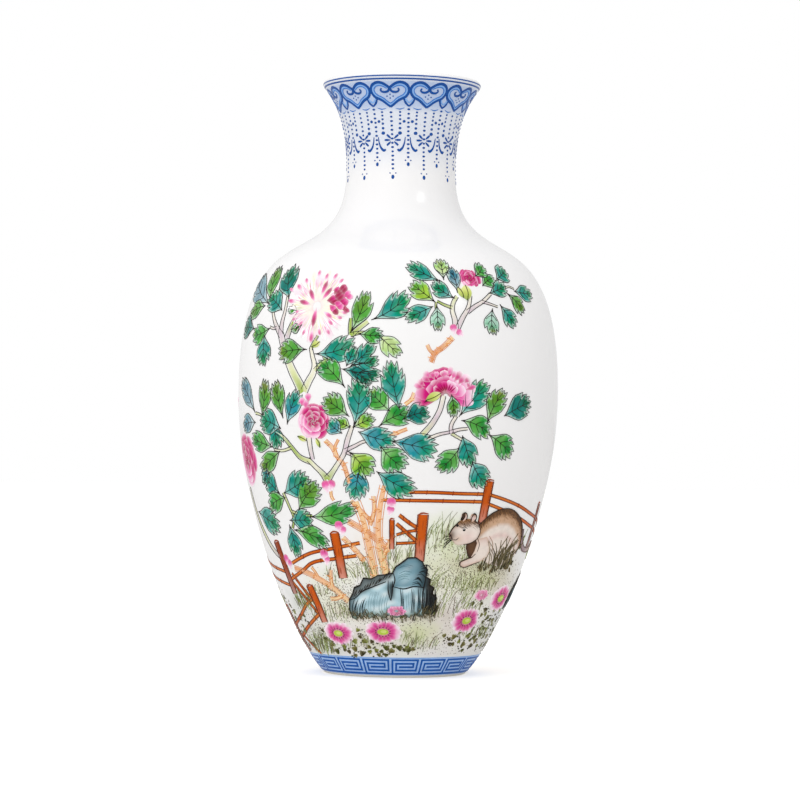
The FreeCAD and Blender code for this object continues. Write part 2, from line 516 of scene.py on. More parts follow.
def lathe_tree():
    """Turns a half section, given as a row of points, about the axis."""
    tree, given, result = growing_tree("Turned coat", [("Segments", "Int")])
    rows = node(tree, "GeometryNodeAttributeDomainSize", Geometry=given["Geometry"]).outputs[0]
    grid = node(tree, "GeometryNodeMeshGrid", Vertices_X=calc(tree, "ADD", given["Segments"], 1.0),
                Vertices_Y=rows).outputs["Mesh"]
    index = node(tree, "GeometryNodeInputIndex").outputs[0]
    column = calc(tree, "FLOOR", calc(tree, "DIVIDE", index, rows))
    row = calc(tree, "SUBTRACT", index, calc(tree, "MULTIPLY", column, rows))
    round_share = calc(tree, "DIVIDE", column, given["Segments"])
    up_share = calc(tree, "DIVIDE", row, calc(tree, "SUBTRACT", rows, 1.0))
    layout = node(tree, "ShaderNodeCombineXYZ", X=round_share, Y=up_share).outputs[0]
    named = node(tree, "GeometryNodeStoreNamedAttribute", {"data_type": "FLOAT2", "domain": "CORNER"},
                 Geometry=grid, Name="OFBake", Value=layout).outputs[0]
    point = node(tree, "GeometryNodeSampleIndex", {"data_type": "FLOAT_VECTOR"},
                 Geometry=given["Geometry"], Value=node(tree, "GeometryNodeInputPosition").outputs[0],
                 Index=row).outputs["Value"]
    parts = node(tree, "ShaderNodeSeparateXYZ", Vector=point).outputs
    angle = calc(tree, "MULTIPLY", round_share, math.tau)
    x = calc(tree, "MULTIPLY", parts["X"], calc(tree, "SINE", angle))
    y = calc(tree, "MULTIPLY", parts["X"], calc(tree, "MULTIPLY", calc(tree, "COSINE", angle), -1.0))
    place = node(tree, "ShaderNodeCombineXYZ", X=x, Y=y, Z=parts["Z"]).outputs[0]
    turned = node(tree, "GeometryNodeSetPosition", Geometry=named, Position=place).outputs[0]
    joined = node(tree, "GeometryNodeMergeByDistance", Geometry=turned, Distance=SAME_PLACE).outputs[0]
    return close_tree(tree, given, result, smooth_sides(tree, joined, CREASE))


def round_tree():
    """Repeats one unit of a border round the axis."""
    tree, given, result = growing_tree("Round the vase", [("Count", "Int"), ("First turn", "Float")])
    points = node(tree, "GeometryNodePoints", Count=given["Count"]).outputs[0]
    index = node(tree, "GeometryNodeInputIndex").outputs[0]
    step = calc(tree, "DIVIDE", math.tau, given["Count"])
    turn = calc(tree, "ADD", calc(tree, "MULTIPLY", index, step), given["First turn"])
    spin = node(tree, "ShaderNodeCombineXYZ", Z=turn).outputs[0]
    copies = node(tree, "GeometryNodeInstanceOnPoints", Points=points, Instance=given["Geometry"],
                  Rotation=spin).outputs[0]
    return close_tree(tree, given, result, copies)


def bead_tree():
    """Puts a flattened drop of enamel on each point, sized and turned by the point's attributes."""
    tree, given, result = growing_tree("Beads of enamel", [("Sides", "Int"), ("Rings", "Int")])
    ball = node(tree, "GeometryNodeMeshUVSphere", Segments=given["Sides"], Rings=given["Rings"],
                Radius=0.5).outputs["Mesh"]
    size = painted_value(tree, "Bead size", "FLOAT_VECTOR")
    facing = painted_value(tree, "Facing", "FLOAT_VECTOR")
    cloud = node(tree, "GeometryNodeMeshToPoints", Mesh=given["Geometry"]).outputs[0]
    copies = node(tree, "GeometryNodeInstanceOnPoints", Points=cloud, Instance=ball, Rotation=facing,
                  Scale=size).outputs[0]
    real = node(tree, "GeometryNodeRealizeInstances", Geometry=copies).outputs[0]
    return close_tree(tree, given, result, smooth_sides(tree, real, BEAD_CREASE))


def stipple_tree():
    """Scatters fine dots over ground, as thickly as the brush meant them."""
    tree, given, result = growing_tree(
        "Stippled ground", [("Most dots", "Float"), ("Dot size", "Float"), ("Seed", "Int")])
    thick = painted_value(tree, "Thickness", "FLOAT")
    spread = node(tree, "GeometryNodeDistributePointsOnFaces", Mesh=given["Geometry"],
                  Density=calc(tree, "MULTIPLY", thick, given["Most dots"]), Seed=given["Seed"])
    dot = node(tree, "GeometryNodeMeshIcoSphere", Radius=1.0, Subdivisions=1).outputs["Mesh"]
    wide = node(tree, "FunctionNodeRandomValue", {"data_type": "FLOAT"}, _2=0.5, _3=1.25,
                Seed=given["Seed"]).outputs[1]
    size = calc(tree, "MULTIPLY", wide, given["Dot size"])
    shape = node(tree, "ShaderNodeCombineXYZ", X=size, Y=calc(tree, "MULTIPLY", size, 1.5),
                 Z=calc(tree, "MULTIPLY", size, 0.6)).outputs[0]
    copies = node(tree, "GeometryNodeInstanceOnPoints", Points=spread.outputs["Points"], Instance=dot,
                  Rotation=spread.outputs["Rotation"], Scale=shape).outputs[0]
    return close_tree(tree, given, result, copies)


def grow(tree, mesh, material, values):
    """Runs a tree on a mesh and returns the result as a plain mesh."""
    maker = new_object("maker", mesh)
    modifier = maker.modifiers.new("tree", "NODES")
    modifier.node_group = tree
    for item in tree.interface.items_tree:
        if item.in_out == "INPUT" and item.name in values:
            modifier[item.identifier] = values[item.name]
        if item.in_out == "INPUT" and item.name == "Finish":
            modifier[item.identifier] = material
    graph = bpy.context.evaluated_depsgraph_get()
    made = bpy.data.meshes.new_from_object(maker.evaluated_get(graph), depsgraph=graph)
    maker.modifiers.remove(modifier)
    bpy.data.objects.remove(maker)
    return made


def row_of_points(places):
    """A mesh of points only, for a tree to grow from."""
    mesh = bpy.data.meshes.new("points")
    mesh.from_pydata([tuple(p) for p in places], [], [])
    return mesh


LATHE, ROUND, BEADS, STIPPLE = lathe_tree(), round_tree(), bead_tree(), stipple_tree()


# ---------------------------------------------------------------- the glaze coats

def turned_coat(section, segments, material):
    """A closed coat from its half section, as (radius, height) in metres, outward side on the right."""
    return grow(LATHE, row_of_points([(r, 0, z) for r, z in section]), material, {"Segments": segments})


GROUND_TINT = 0.35       # how strongly the ground colours the glaze
WASH_TINT = 0.68         # and how strongly the soft washes do
# Soft washes under the enamel: turn, height, half width in degrees, half height, colour, strength
SOFT_WASHES = [
    (8.0, 38.0, 14.0, 7.0, "DDE8A0", 0.5), (24.0, 50.0, 16.0, 6.0, "E2ECAE", 0.6),
    (38.0, 34.0, 22.0, 8.0, "D9E296", 0.7), (14.0, 15.0, 16.0, 5.0, "DCE49C", 0.7),
    (52.0, 38.0, 14.0, 5.0, "B59C80", 0.55), (60.0, 31.0, 16.0, 5.0, "E0CFC0", 0.7),
    (-30.0, 25.0, 16.0, 6.0, "DDE2A8", 0.6), (-48.0, 12.0, 16.0, 5.0, "C4D2B4", 0.8),
    (-36.0, 32.0, 12.0, 5.0, "E4E6B8", 0.5), (-10.0, 21.5, 20.0, 2.4, "C9B48C", 0.7),
    (18.0, 22.0, 14.0, 2.6, "B9AA80", 0.6), (-58.0, 24.0, 10.0, 6.0, "A9B8A4", 0.6),
    (-11.0, 43.0, 8.0, 9.0, "FBE3C4", 0.5), (4.0, 34.0, 8.0, 8.0, "E8E6A4", 0.5),
    (31.0, 18.5, 14.0, 6.0, "E8D0D8", 0.45), (-22.0, 14.0, 30.0, 4.0, "E6D3D6", 0.45),
    (72.0, 20.0, 12.0, 10.0, "C4D6D4", 0.5), (30.0, 38.5, 10.0, 3.0, "C9BE90", 0.6),
    (22.0, 44.0, 9.0, 6.0, "D6E68C", 0.6), (46.0, 33.0, 12.0, 4.0, "D2E284", 0.5),
    (10.0, 16.5, 9.0, 3.0, "CFE08A", 0.5), (-14.0, 12.0, 10.0, 3.0, "D8E6A6", 0.5),
    (-22.0, 36.0, 8.0, 4.0, "DDE8A0", 0.5), (-14.0, 101.0, 30.0, 40.0, "F6F8F4", 0.3),
    (104.0, 30.0, 24.0, 8.0, "DDE3A6", 0.6), (140.0, 22.0, 24.0, 8.0, "E0D0BC", 0.6),
    (176.0, 30.0, 22.0, 8.0, "DCE4A2", 0.6), (-150.0, 20.0, 26.0, 8.0, "CFDAB4", 0.6),
    (-112.0, 28.0, 20.0, 8.0, "DFD6B6", 0.6),
]


# Pale blue at the mouth: the heights where a wash comes in and goes out, its colour and strength
MOUTH_WASHES = [
    ((166, 180), (198.9, 199.3), "E4EBF7", 0.9), ((187, 190), (196.6, 197.6), "CEDDF5", 0.95),
]


def ground_top(turn):
    """How high the painted ground reaches, in millimetres: a swell, a rise at the right, and waves."""
    swell = 4 * np.sin(np.radians(turn * 2 + 50))
    rise = 47 * np.exp(-((turn - 38) / 34) ** 2) * 0.34
    return 31 + swell + rise + 2.2 * np.sin(np.radians(turn * 7))


def wash_tints(turn, height):
    """The tint of the glaze, as a share of white for each point."""
    tint = np.ones((len(turn), 3))
    turn = wrapped(turn)
    top = ground_top(turn)
    under = (1 - ease(height, top - 15, top + 3)) * ease(height, 6.5, 8.0)
    ground = blend(paint("F4F5DC"), paint("F5EFE8"), 0.5 + 0.5 * mottle(turn * 0.16, height * 0.2, 1.0))
    tint *= blend(WHITE, ground, under * GROUND_TINT)
    for at, level, wide, tall, code, strength in SOFT_WASHES:
        away = (wrapped(turn - at) / wide) ** 2 + ((height - level) / tall) ** 2
        ragged = 1 + 0.35 * mottle(turn * 0.5, height * 0.6, at)
        tint *= blend(WHITE, paint(code), WASH_TINT * strength * np.exp(-away * ragged * 1.2))
    for comes_in, goes_out, code, strength in MOUTH_WASHES:
        shown = ease(height, *comes_in) * (1 - ease(height, *goes_out))
        tint *= blend(WHITE, paint(code), shown * strength)
    return tint


def brush_washes(mesh):
    """Leaves the washes on the glaze as its colour."""
    co = np.zeros(len(mesh.vertices) * 3, np.float32)
    mesh.vertices.foreach_get("co", co)
    x, y, z = co.reshape(-1, 3).T
    tint = wash_tints(np.degrees(np.arctan2(x, -y)), z / MM) * PORCELAIN
    colour = mesh.color_attributes.new("Wash", "FLOAT_COLOR", "POINT")
    colour.data.foreach_set("color", np.c_[tint, np.ones(len(x))].astype(np.float32).ravel())


OUTSIDE_STEPS, INSIDE_STEPS, BASE_STEPS = 240, 180, 120      # flat faces round each coat

# Outside: up the shown side, and back down against the clay
clay_side = thin_out(outer_clay[::-1], *CLAY_GAPS)
section = [*outer_down[::-1], *clay_side, tuple(outer_down[-1])]
outside_mesh = turned_coat(section, OUTSIDE_STEPS, glaze_finish)
brush_washes(outside_mesh)
outside_glaze = put_on_vase("outside_glaze", outside_mesh, glaze_finish)
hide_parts("outer_glaze")

# Inside: down the shown side to the middle of the floor, and back up against the clay
inner_down, inner_clay = half_section("inner_glaze", False)
inner_down = shown_curve(inner_down, 1.4 * MM)
section = [*inner_down, *thin_out(inner_clay, *CLAY_GAPS), tuple(inner_down[0])]
inside_mesh = turned_coat(section, INSIDE_STEPS, inside_finish)
inside_glaze = put_on_vase("inside_glaze", inside_mesh, inside_finish)
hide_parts("inner_glaze")

# Under the base: the hollow inside the foot ring
base_low, base_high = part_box("base_glaze")
COAT = 0.3 * MM
HOLLOW = base_high.x - COAT            # the hollow's radius
CEILING = base_high.z - COAT           # and how high it reaches
BEND = 1.2 * MM                        # where its ceiling turns into its wall
PLAIN = 1.6 * MM                       # the ceiling and the wall are plain this far from their corner
corner = [(HOLLOW - BEND * (1 - math.sin(a)), CEILING - BEND * (1 - math.cos(a)))
          for a in np.linspace(0, math.pi / 2, 7)]
spokes = [(r, CEILING) for r in np.linspace(0, HOLLOW - PLAIN, 14)]
wall = [(HOLLOW, z) for z in np.linspace(CEILING - PLAIN, base_low.z, 4)]
back = [(base_high.x, base_low.z), (base_high.x, base_high.z), (0, base_high.z)]
section = [*spokes, *corner, *wall, *back]
base_mesh = turned_coat(section[::-1], BASE_STEPS, inside_finish)
base_coat = put_on_vase("base_glaze_coat", base_mesh, inside_finish)
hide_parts("base_glaze")

for name in ("lower_body", "shoulder", "neck", "belly_joint_slip", "neck_joint_slip"):
    finishes = nodes[name].data.materials
    finishes.clear()
    finishes.append(slip_finish if "slip" in name else clay_finish)


# ---------------------------------------------------------------- the blue borders

def all_round(mesh, count, first_turn, material):
    """Copies of a mesh round the axis, the first of them at a turn from the front."""
    return grow(ROUND, mesh, material, {"Count": count, "First turn": math.radians(first_turn)})


def border(name, unit, count, first_turn, material):
    """Repeats a unit that was painted at the front."""
    made = unit.piece(name, material)
    mesh = all_round(made.data, count, first_turn, material)
    bpy.data.objects.remove(made)
    return put_on_vase(name, mesh, material)


def mirrored(path):
    """A path on the other side of the front."""
    return [(-t, h) for t, h in path]


HEADS = 11               # heart-shaped heads round the mouth
HEAD_TURN = -10.0        # where one of them is centred
KEYS = 18                # square spirals round the foot
KEY_TURN = 7.0

# Paths in one half of a head: degrees from its middle, height
head = Enamel()
half_outline = [(0, 194.9), (2.6, 195.7), (5.6, 196.4), (8.7, 196.65), (12, 196.3), (14.7, 195.4),
                (15.6, 194.3), (14.9, 193.1), (12.8, 192.1), (9.4, 191.5), (6.6, 190.9), (3.6, 190.0),
                (0, 189.0)]
inner_line = [(2.4, 194.8), (5.2, 195.4), (8.6, 195.65), (11.3, 195.3), (12.9, 194.5), (12.7, 193.7),
              (11.2, 192.9), (8.4, 192.3), (5.2, 191.6), (2.6, 190.7), (0, 190.1)]
tint_band = [(1.4, 194.9), (5.4, 195.9), (8.7, 196.15), (11.8, 195.8), (13.9, 194.7), (13.6, 193.5),
             (11.8, 192.5), (8.8, 191.9), (5.4, 191.2), (2.6, 190.2), (0, 189.6)]
curl = [(0, 194.9), (1.5, 193.9), (4.2, 193.6), (6.6, 193.8), (7.6, 194.3), (6.6, 194.8)]
# Half of a head, from its middle to one side: path, widths, tone, layer and step
HALF_HEAD = [
    (tint_band, 0.95, SKY_BLUE, 0, 0.5),
    (half_outline, [0.9, 0.95, 1.0, 0.85], COBALT, 2, 0.5),
    (inner_line, 0.34, MID_BLUE, 2, 0.5),
    (curl, [0.9, 0.8, 0.66, 0.5], COBALT, 3, 0.4),
    ([(4.4, 188.5), (8.4, 188.2), (12.4, 188.7)], [0.12, 0.42, 0.15], MID_BLUE, 1, 0.8),
    # the tongue between two heads, half on each side
    ([(11.4, 191.8), (13.2, 190.3), (16.36, 189.2)], [0.5, 0.75, 0.6], COBALT, 1, 0.5),
    ([(12.9, 191.9), (14.2, 190.9), (16.36, 190.3)], [0.4, 0.6, 0.5], SKY_BLUE, 1, 0.5),
    # swags that hang beside the short strings
    ([(13.9, 179.2), (12.9, 177.0), (10.6, 175.4), (7.6, 174.7), (6.3, 175.2)],
     [0.3, 0.42, 0.62, 0.95, 0.7], COBALT, 1, 0.5),
]
for side in (list, mirrored):
    for path, widths, tone, layer, step in HALF_HEAD:
        head.stroke(side(path), widths, tone, layer, step=step)
# the star on the long string: six of its eight rays, for the string itself is the other two
for i in range(8):
    way = math.tau * i / 8
    x, y = math.cos(way), math.sin(way)
    if i % 4 != 2:
        head.stroke([(1.0 + 2.4 * x, 178.2 + 0.75 * y), (1.0 + 8.2 * x, 178.2 + 2.5 * y)],
                    [0.32, 0.8, 0.62], COBALT, 1, step=0.6)
border("mouth_border", head, HEADS, HEAD_TURN, cobalt_finish)

lines = Enamel()
lines.hoop(198.5, 198.9, COBALT)
lines.hoop(197.5, 197.95, COBALT)
lines.hoop(6.78, 7.0, SKY_BLUE, 1)
lines.piece("ring_lines", cobalt_finish)


STRING_GAP = 1.42        # from one bead to the next
BEAD_BODY = 0.3          # how thick a bead is, half of it inside the glaze


def bead_points():
    """Strings of beads under one head: turn, height, width, tall."""
    beads = [(0.12 * i, 187.2 - STRING_GAP * i, 0.76 if i % 2 else 0.92, 0.62) for i in range(14)]
    beads += [(-1.3, 167.2, 0.45, 0.4), (4.7, 167.2, 0.45, 0.4), (1.7, 165.9, 0.95, 1.3),
              (1.7, 168.6, 0.4, 0.35)]
    half = 180 / HEADS
    beads += [(half + 0.08 * i, 188.2 - STRING_GAP * i, 0.8 if i % 2 else 0.95, 0.62) for i in range(12)]
    beads += [(half - 4.0, 184.3, 0.95, 0.85), (half + 4.0, 184.3, 0.95, 0.85), (half + 1, 170.2, 0.9, 1.2),
              (half - 1.9, 171.5, 0.5, 0.4), (half + 3.7, 171.5, 0.5, 0.4)]
    short_string = ((187.3, 0.6), (186.2, 0.6), (185.0, 0.62), (183.6, 0.68), (182.1, 0.75), (180.5, 1.0))
    beads += [(side * 8.5, level, size * 1.2, size) for side in (-1, 1) for level, size in short_string]
    beads += [(t, h, 0.5, 0.42) for t, h in ((0, 192.9), (-2.6, 192.3), (2.6, 192.3), (0, 191.7))]
    return beads


def beads_piece(name, beads, count, first_turn, material):
    """Beads that follow the glaze, repeated round the vase."""
    turn, level, wide, tall = np.array(beads).T
    mesh = row_of_points(on_glaze(turn, level, np.full(len(turn), 0.02)))
    tilt = np.arctan(np.interp(level, FLANK[:, 1], LEAN))
    sizes = np.c_[wide * 1.12, np.full(len(wide), BEAD_BODY), tall * 1.15] * MM
    facings = np.c_[tilt, np.zeros(len(turn)), np.radians(turn)]
    for label, values in (("Bead size", sizes), ("Facing", facings)):
        mesh.attributes.new(label, "FLOAT_VECTOR", "POINT").data.foreach_set("vector", values.ravel())
    drops = grow(BEADS, mesh, material, {"Sides": 10, "Rings": 6})
    return put_on_vase(name, all_round(drops, count, first_turn, material), material)


beads_piece("bead_strings", bead_points(), HEADS, HEAD_TURN, bead_finish)

foot_band = Enamel()
foot_band.hoop(0.93, 6.75, paint("A9CCF9"), 0, rows=7)
foot_band.piece("foot_band", cobalt_finish)

key = Enamel()
KEY_BLUE = paint("215FB4")
# The heights of a spiral's level bars, and its corners: degrees from its middle, height
LEVELS = [1.45, 2.6, 3.78, 4.95, 6.15]
spiral = [(-8.6, LEVELS[0]), (-8.6, LEVELS[4]), (8.6, LEVELS[4]), (8.6, LEVELS[1]), (-6.0, LEVELS[1]),
          (-6.0, LEVELS[3]), (6.0, LEVELS[3]), (6.0, LEVELS[2]), (-3.4, LEVELS[2])]
KEY_WIDTH = 0.72
# How far a bar runs past its corners: a level one, in degrees, and an upright one, in millimetres
LEVEL_PAST, UPRIGHT_PAST = 0.62, 0.3
bars = []
for (t0, h0), (t1, h1) in zip(spiral, spiral[1:]):
    if h0 == h1:
        past = math.copysign(LEVEL_PAST, t1 - t0)
        bars.append([(t0 - past, h0), (t1 + past, h1)])
    else:
        past = math.copysign(UPRIGHT_PAST, h1 - h0)
        bars.append([(t0, h0 - past), (t1, h1 + past)])
for bar in [*bars, [(-10, LEVELS[0]), (10, LEVELS[0])]]:
    key.stroke(bar, KEY_WIDTH, KEY_BLUE, 1, smooth=False, step=0.7)
border("key_fret", key, KEYS, KEY_TURN, cobalt_finish)


# ---------------------------------------------------------------- leaves

# Each tint: at the stalk, low in the body, high in the body, at the tip
LEAF_TINTS = {
    "T": ("9FD8D4", "0C9284", "048A5E", "34A048"), "D": ("4FB0A8", "077A70", "036A4A", "1E8050"),
    "B": ("A0D6DE", "1A8E9A", "0A9078", "2A9C68"), "G": ("B4DCA4", "4AA83C", "1F9038", "8CB03A"),
    "O": ("A6D08A", "4CA038", "5C962C", "A07C34"), "Y": ("E4EEB0", "9CC83C", "5FA832", "A89A38"),
    "P": ("EEF4D0", "C4DE94", "9CC86A", "B0A24E"), "W": ("E4F0EE", "A9D8C0", "6DB48A", "7F8A30"),
    "S": ("CFE2E8", "6E9CAC", "3C7E92", "2A7080"),
}
LEAF_MARGIN = paint("DDF0E6")
WIDE_LEAF = 7.4          # a wider one has three teeth on each side
NARROW_LEAF = 3.2        # a narrower one has no side veins
LONG_LEAF = 7            # a longer one has three pairs of them
brush = random.Random(11)


def leaf_side(length, width, teeth, wide_at):
    """One edge of a leaf from stalk to tip, as (along, across), with teeth that point forward."""
    def breadth(s):
        if not 0 < s < 1:
            return 0.0
        round_part = math.sin(math.pi * s ** (0.69 / math.log(1 / wide_at)))
        return width * 0.5 * round_part ** (1.4 if s < wide_at else 0.85)

    first = 0.58 + brush.uniform(-0.07, 0.05)
    edge = [(length * first * i / 6, breadth(first * i / 6)) for i in range(7)]
    for i in range(teeth):
        start = first + (0.95 - first) * i / teeth
        peak = first + (0.95 - first) * (i + 0.8) / teeth + brush.uniform(-0.035, 0.035)
        middle = (start + peak) / 2
        edge.append((length * middle, breadth(middle) * 1.04))
        edge.append((length * (peak + 0.07), breadth(peak) * 0.98 + width * 0.05))
        edge.append((length * (peak - 0.03), breadth(peak) * 0.7))
    return edge


def leaf(fills, inks, base, tip, width, tint, layer=0):
    """A leaf from its stalk to its tip: a filled flake, its drawn outline, midrib and side veins."""
    k = per_degree((base[1] + tip[1]) / 2)
    run = ((tip[0] - base[0]) * k, tip[1] - base[1])
    length = math.hypot(*run)
    ux, uy = run[0] / length, run[1] / length
    bow = brush.uniform(-0.08, 0.08) * length
    teeth = 3 if width > WIDE_LEAF else 2

    def place(x, y):
        y += bow * 4 * (x / length) * (1 - x / length)
        return base[0] + (ux * x - uy * y) / k, base[1] + uy * x + ux * y

    wide_at = brush.uniform(0.5, 0.6)
    right = leaf_side(length, width, teeth, wide_at)
    left = leaf_side(length, width, teeth, wide_at)
    rim = [place(x, -y) for x, y in right] + [place(length, 0)] + [place(x, y) for x, y in left[:0:-1]]
    tones = [paint(code) for code in LEAF_TINTS[tint]]
    shift = brush.uniform(0, 9)

    def tone_at(turn, height, deep):
        dx, dy = (turn - base[0]) * k, height - base[1]
        s = (dx * ux + dy * uy) / length
        across = dy * ux - dx * uy
        drift = s + 0.12 * mottle(dx * 0.5, dy * 0.5, shift)
        stalk, low, high, point = tones
        tone = ramp(drift, [stalk, (stalk + low) / 2, low, low, high, high, point])
        pooled = 0.22 * np.exp(-((across - 0.2 * width) / (0.12 * width)) ** 2) * ease(s, 0.1, 0.5)
        tone = tone * (1.04 - 0.12 * np.exp(-(across / 0.45) ** 2) - pooled)[:, None]
        tone = blend(tone, stalk, 0.06 + 0.14 * mottle(dx * 0.8, dy * 0.8, shift))
        return blend(LEAF_MARGIN, tone, 0.2 + ease(deep, 0.0, 0.42))

    fills.flake(rim, tone_at, layer, 0.7, 0.05)
    inks.stroke(rim, INK * 0.8, INK_BROWN, layer + 2, closed=True, smooth=False, step=0.9, body=0.03)
    ink_vein = [place(x, 0) for x in np.linspace(-0.02 * length, length * 0.93, 6)]
    inks.stroke(ink_vein, [INK * 0.9, INK * 0.8, INK * 0.4], INK_BROWN, layer + 4, step=1.2, body=0.03)
    if width > NARROW_LEAF:
        for i in range(3 if length > LONG_LEAF else 2):
            s = 0.24 + 0.2 * i
            for side in (-1, 1):
                reach = width * 0.36 * (1 - 0.25 * i)
                vein = [place(length * s, 0), place(length * (s + 0.09), side * reach * 0.55),
                        place(length * (s + 0.2), side * reach)]
                inks.stroke(vein, [INK * 0.8, INK * 0.45], INK_BROWN, layer + 4, step=1.0, body=0.03)


# Each leaf: base turn, base height, tip turn, tip height, width, tint
UPPER_RIGHT = [
    (15.5, 129.5, 2.8, 135, 5.2, "T"), (22, 126, 20, 134.5, 4.2, "S"), (20.5, 124, 12.5, 129, 5, "T"),
    (13, 122.5, 4, 128.5, 6, "Y"), (17.2, 130, 17.5, 137, 4.8, "P"), (31, 131.5, 37, 135.6, 4.6, "G"),
    (33.5, 128.5, 40.5, 131.5, 4.5, "G"), (35.5, 126, 45.5, 129, 5, "T"),
    (41.5, 131, 49.5, 134.6, 5.6, "T"), (49.8, 127.5, 62.5, 127.3, 5.2, "T"),
    (45, 126.5, 52.5, 120.3, 5.4, "O"), (40, 122.5, 46.5, 115.7, 5.6, "T"),
    (36, 121, 35, 112.5, 5.6, "W"), (12, 121, 2, 116.6, 5.2, "T"), (13.5, 121.5, 13.7, 113.2, 4.6, "W"),
]
UPPER_CENTRE = [
    (-17, 112.5, -12, 125.8, 6.2, "O"), (-9.5, 116.5, 3.2, 125, 7.2, "T"),
    (-14, 112, -5.2, 111.4, 5, "G"), (-7, 111.5, 0.6, 105, 5.8, "P"),
]
UPPER_LEFT = [
    (-57, 122.5, -84, 132, 8, "S"), (-57.5, 124, -63, 135.5, 6.6, "O"), (-48, 120.2, -58.5, 125, 7, "T"),
    (-45.5, 124, -51.5, 135, 8, "D"), (-60, 122, -74, 119.5, 6, "O"), (-65, 114.5, -79, 115, 7, "D"),
    (-53, 114.5, -66, 112.5, 6.4, "G"), (-56, 112, -55.5, 102, 8, "T"),
    (-33.8, 107, -46.8, 105.8, 7.2, "O"), (-39.6, 119.6, -44.6, 120.4, 2.8, "O"),
    (-36.6, 115, -41.6, 113.6, 3.1, "O"),
]
CENTRE = [
    (-30, 105.5, -15.2, 109.2, 7.4, "T"), (-18.5, 94.8, -28.5, 103.5, 7, "G"),
    (-17, 85.5, -26.5, 91.5, 7, "O"), (-2.8, 87.3, -10, 94.2, 7, "G"), (-15.3, 82.5, -14, 98, 7.6, "T"),
    (-15.5, 82, -8, 85.2, 4.6, "Y"), (-16.5, 82, -21.5, 84.6, 3.8, "Y"), (-19.6, 80, -24.6, 84.2, 5, "B"),
    (0.5, 88, -2.6, 103.5, 7.2, "T"), (-6.5, 82.3, 5, 87, 6.6, "G"), (1.6, 84.6, 10.8, 87, 6.6, "D"),
    (-13.5, 80.5, -0.5, 77.6, 7, "B"), (-2.5, 77.8, 14.2, 74.6, 8.2, "B"), (-17, 74, -9.5, 66.4, 8, "Y"),
    (-5.8, 76, 3, 69, 8, "G"), (-13, 69.6, -16, 58.8, 7.6, "B"), (-7.2, 67.8, 6.6, 61.4, 7.6, "T"),
]
MAPLE = [
    (-19.5, 100.6, -5.6, 98.4, 6.0, "D"), (-17, 101, -8.4, 109, 5.2, "T"),
    (-18, 101.6, -15.4, 108, 4.4, "T"), (-15.6, 99.6, -9.6, 95.4, 4.6, "D"),
    (-16, 102, -6.6, 103.6, 5.0, "T"),
]
RIGHT_MIDDLE = [
    (21.5, 86, 32, 97, 8, "T"), (32.5, 84, 39.6, 94.6, 7, "O"), (40, 86.5, 53.5, 91.5, 8, "D"),
    (22.5, 84.6, 34, 80.2, 6.8, "G"), (33.5, 80.2, 45, 73.8, 7.4, "G"), (23, 79.6, 27.6, 69.8, 6.6, "T"),
    (22, 75.8, 14.4, 68.6, 7, "G"), (27.5, 71.6, 35.4, 63.6, 7.2, "T"),
    (18.4, 92.8, 19.4, 85.6, 4.2, "O"), (9, 90.2, 14.4, 93.4, 2.6, "Y"),
]
LEFT = [
    (-61, 87, -75, 97.5, 7, "S"), (-56, 85, -53.5, 97.5, 6.6, "O"), (-44, 85, -48, 97, 6.2, "O"),
    (-42, 83, -36.2, 93.8, 6.2, "B"), (-61, 83.5, -73.5, 82, 6, "S"), (-45.5, 81.5, -57.4, 84.2, 8, "T"),
    (-49.5, 84, -48.2, 74.6, 6.6, "T"), (-50.5, 75.4, -65, 78.4, 6.4, "G"),
    (-47, 74, -60.6, 68.3, 6, "O"), (-50.5, 60.4, -58.8, 65.6, 7, "T"),
    (-47.5, 59, -59.6, 55.4, 6.6, "G"), (-72, 54, -54.2, 49, 8, "T"), (-48, 50, -47, 39.6, 6.4, "T"),
    (-47.5, 60.5, -34, 66, 8, "T"), (-41, 55, -30, 63.6, 8, "O"), (-35.5, 53, -15.2, 56.5, 6.8, "G"),
    (-47, 51.6, -34.6, 51.8, 7, "T"), (-45.5, 48.5, -28.6, 43.6, 6.2, "G"),
    (-55, 70.5, -60.5, 63.0, 4.5, "B"),
]


# ---------------------------------------------------------------- stems and branches

ORANGE = paint("F4B87E")
RUST = paint("DC8A46")
# Cream, olive, lilac and green for living stems; orange, rust and gold for dry ones
STEM_TONES = {
    "C": paint("F1EDDA"), "V": paint("D5DBA0"), "L": paint("D9C7D2"), "N": paint("9DB84A"),
    "A": ORANGE, "R": RUST, "G": paint("F5CD8C"),
}


def beside(path, gap):
    """A path moved sideways by a gap in millimetres."""
    pts = np.array(path, float)
    k = per_degree(pts[:, 1].mean())
    flat = pts * (k, 1)
    along = np.gradient(flat, axis=0)
    along /= np.hypot(*along.T)[:, None]
    flat += np.stack([-along[:, 1], along[:, 0]], -1) * np.asarray(gap)[..., None]
    return [tuple(p) for p in flat / (k, 1)]


def twig(fills, inks, path, width, tones):
    """A living stem: pale fill between two fine drawn edges."""
    widths = np.interp(np.linspace(0, 1, len(path)), np.linspace(0, 1, len(width)), width)
    fills.stroke(path, list(widths), [STEM_TONES[t] for t in tones], columns=5, edge_tone=WHITE)
    for side in (-1, 1):
        inks.stroke(beside(path, side * widths / 2), INK * 0.85, INK_BROWN, 1, body=0.03, step=1.0)


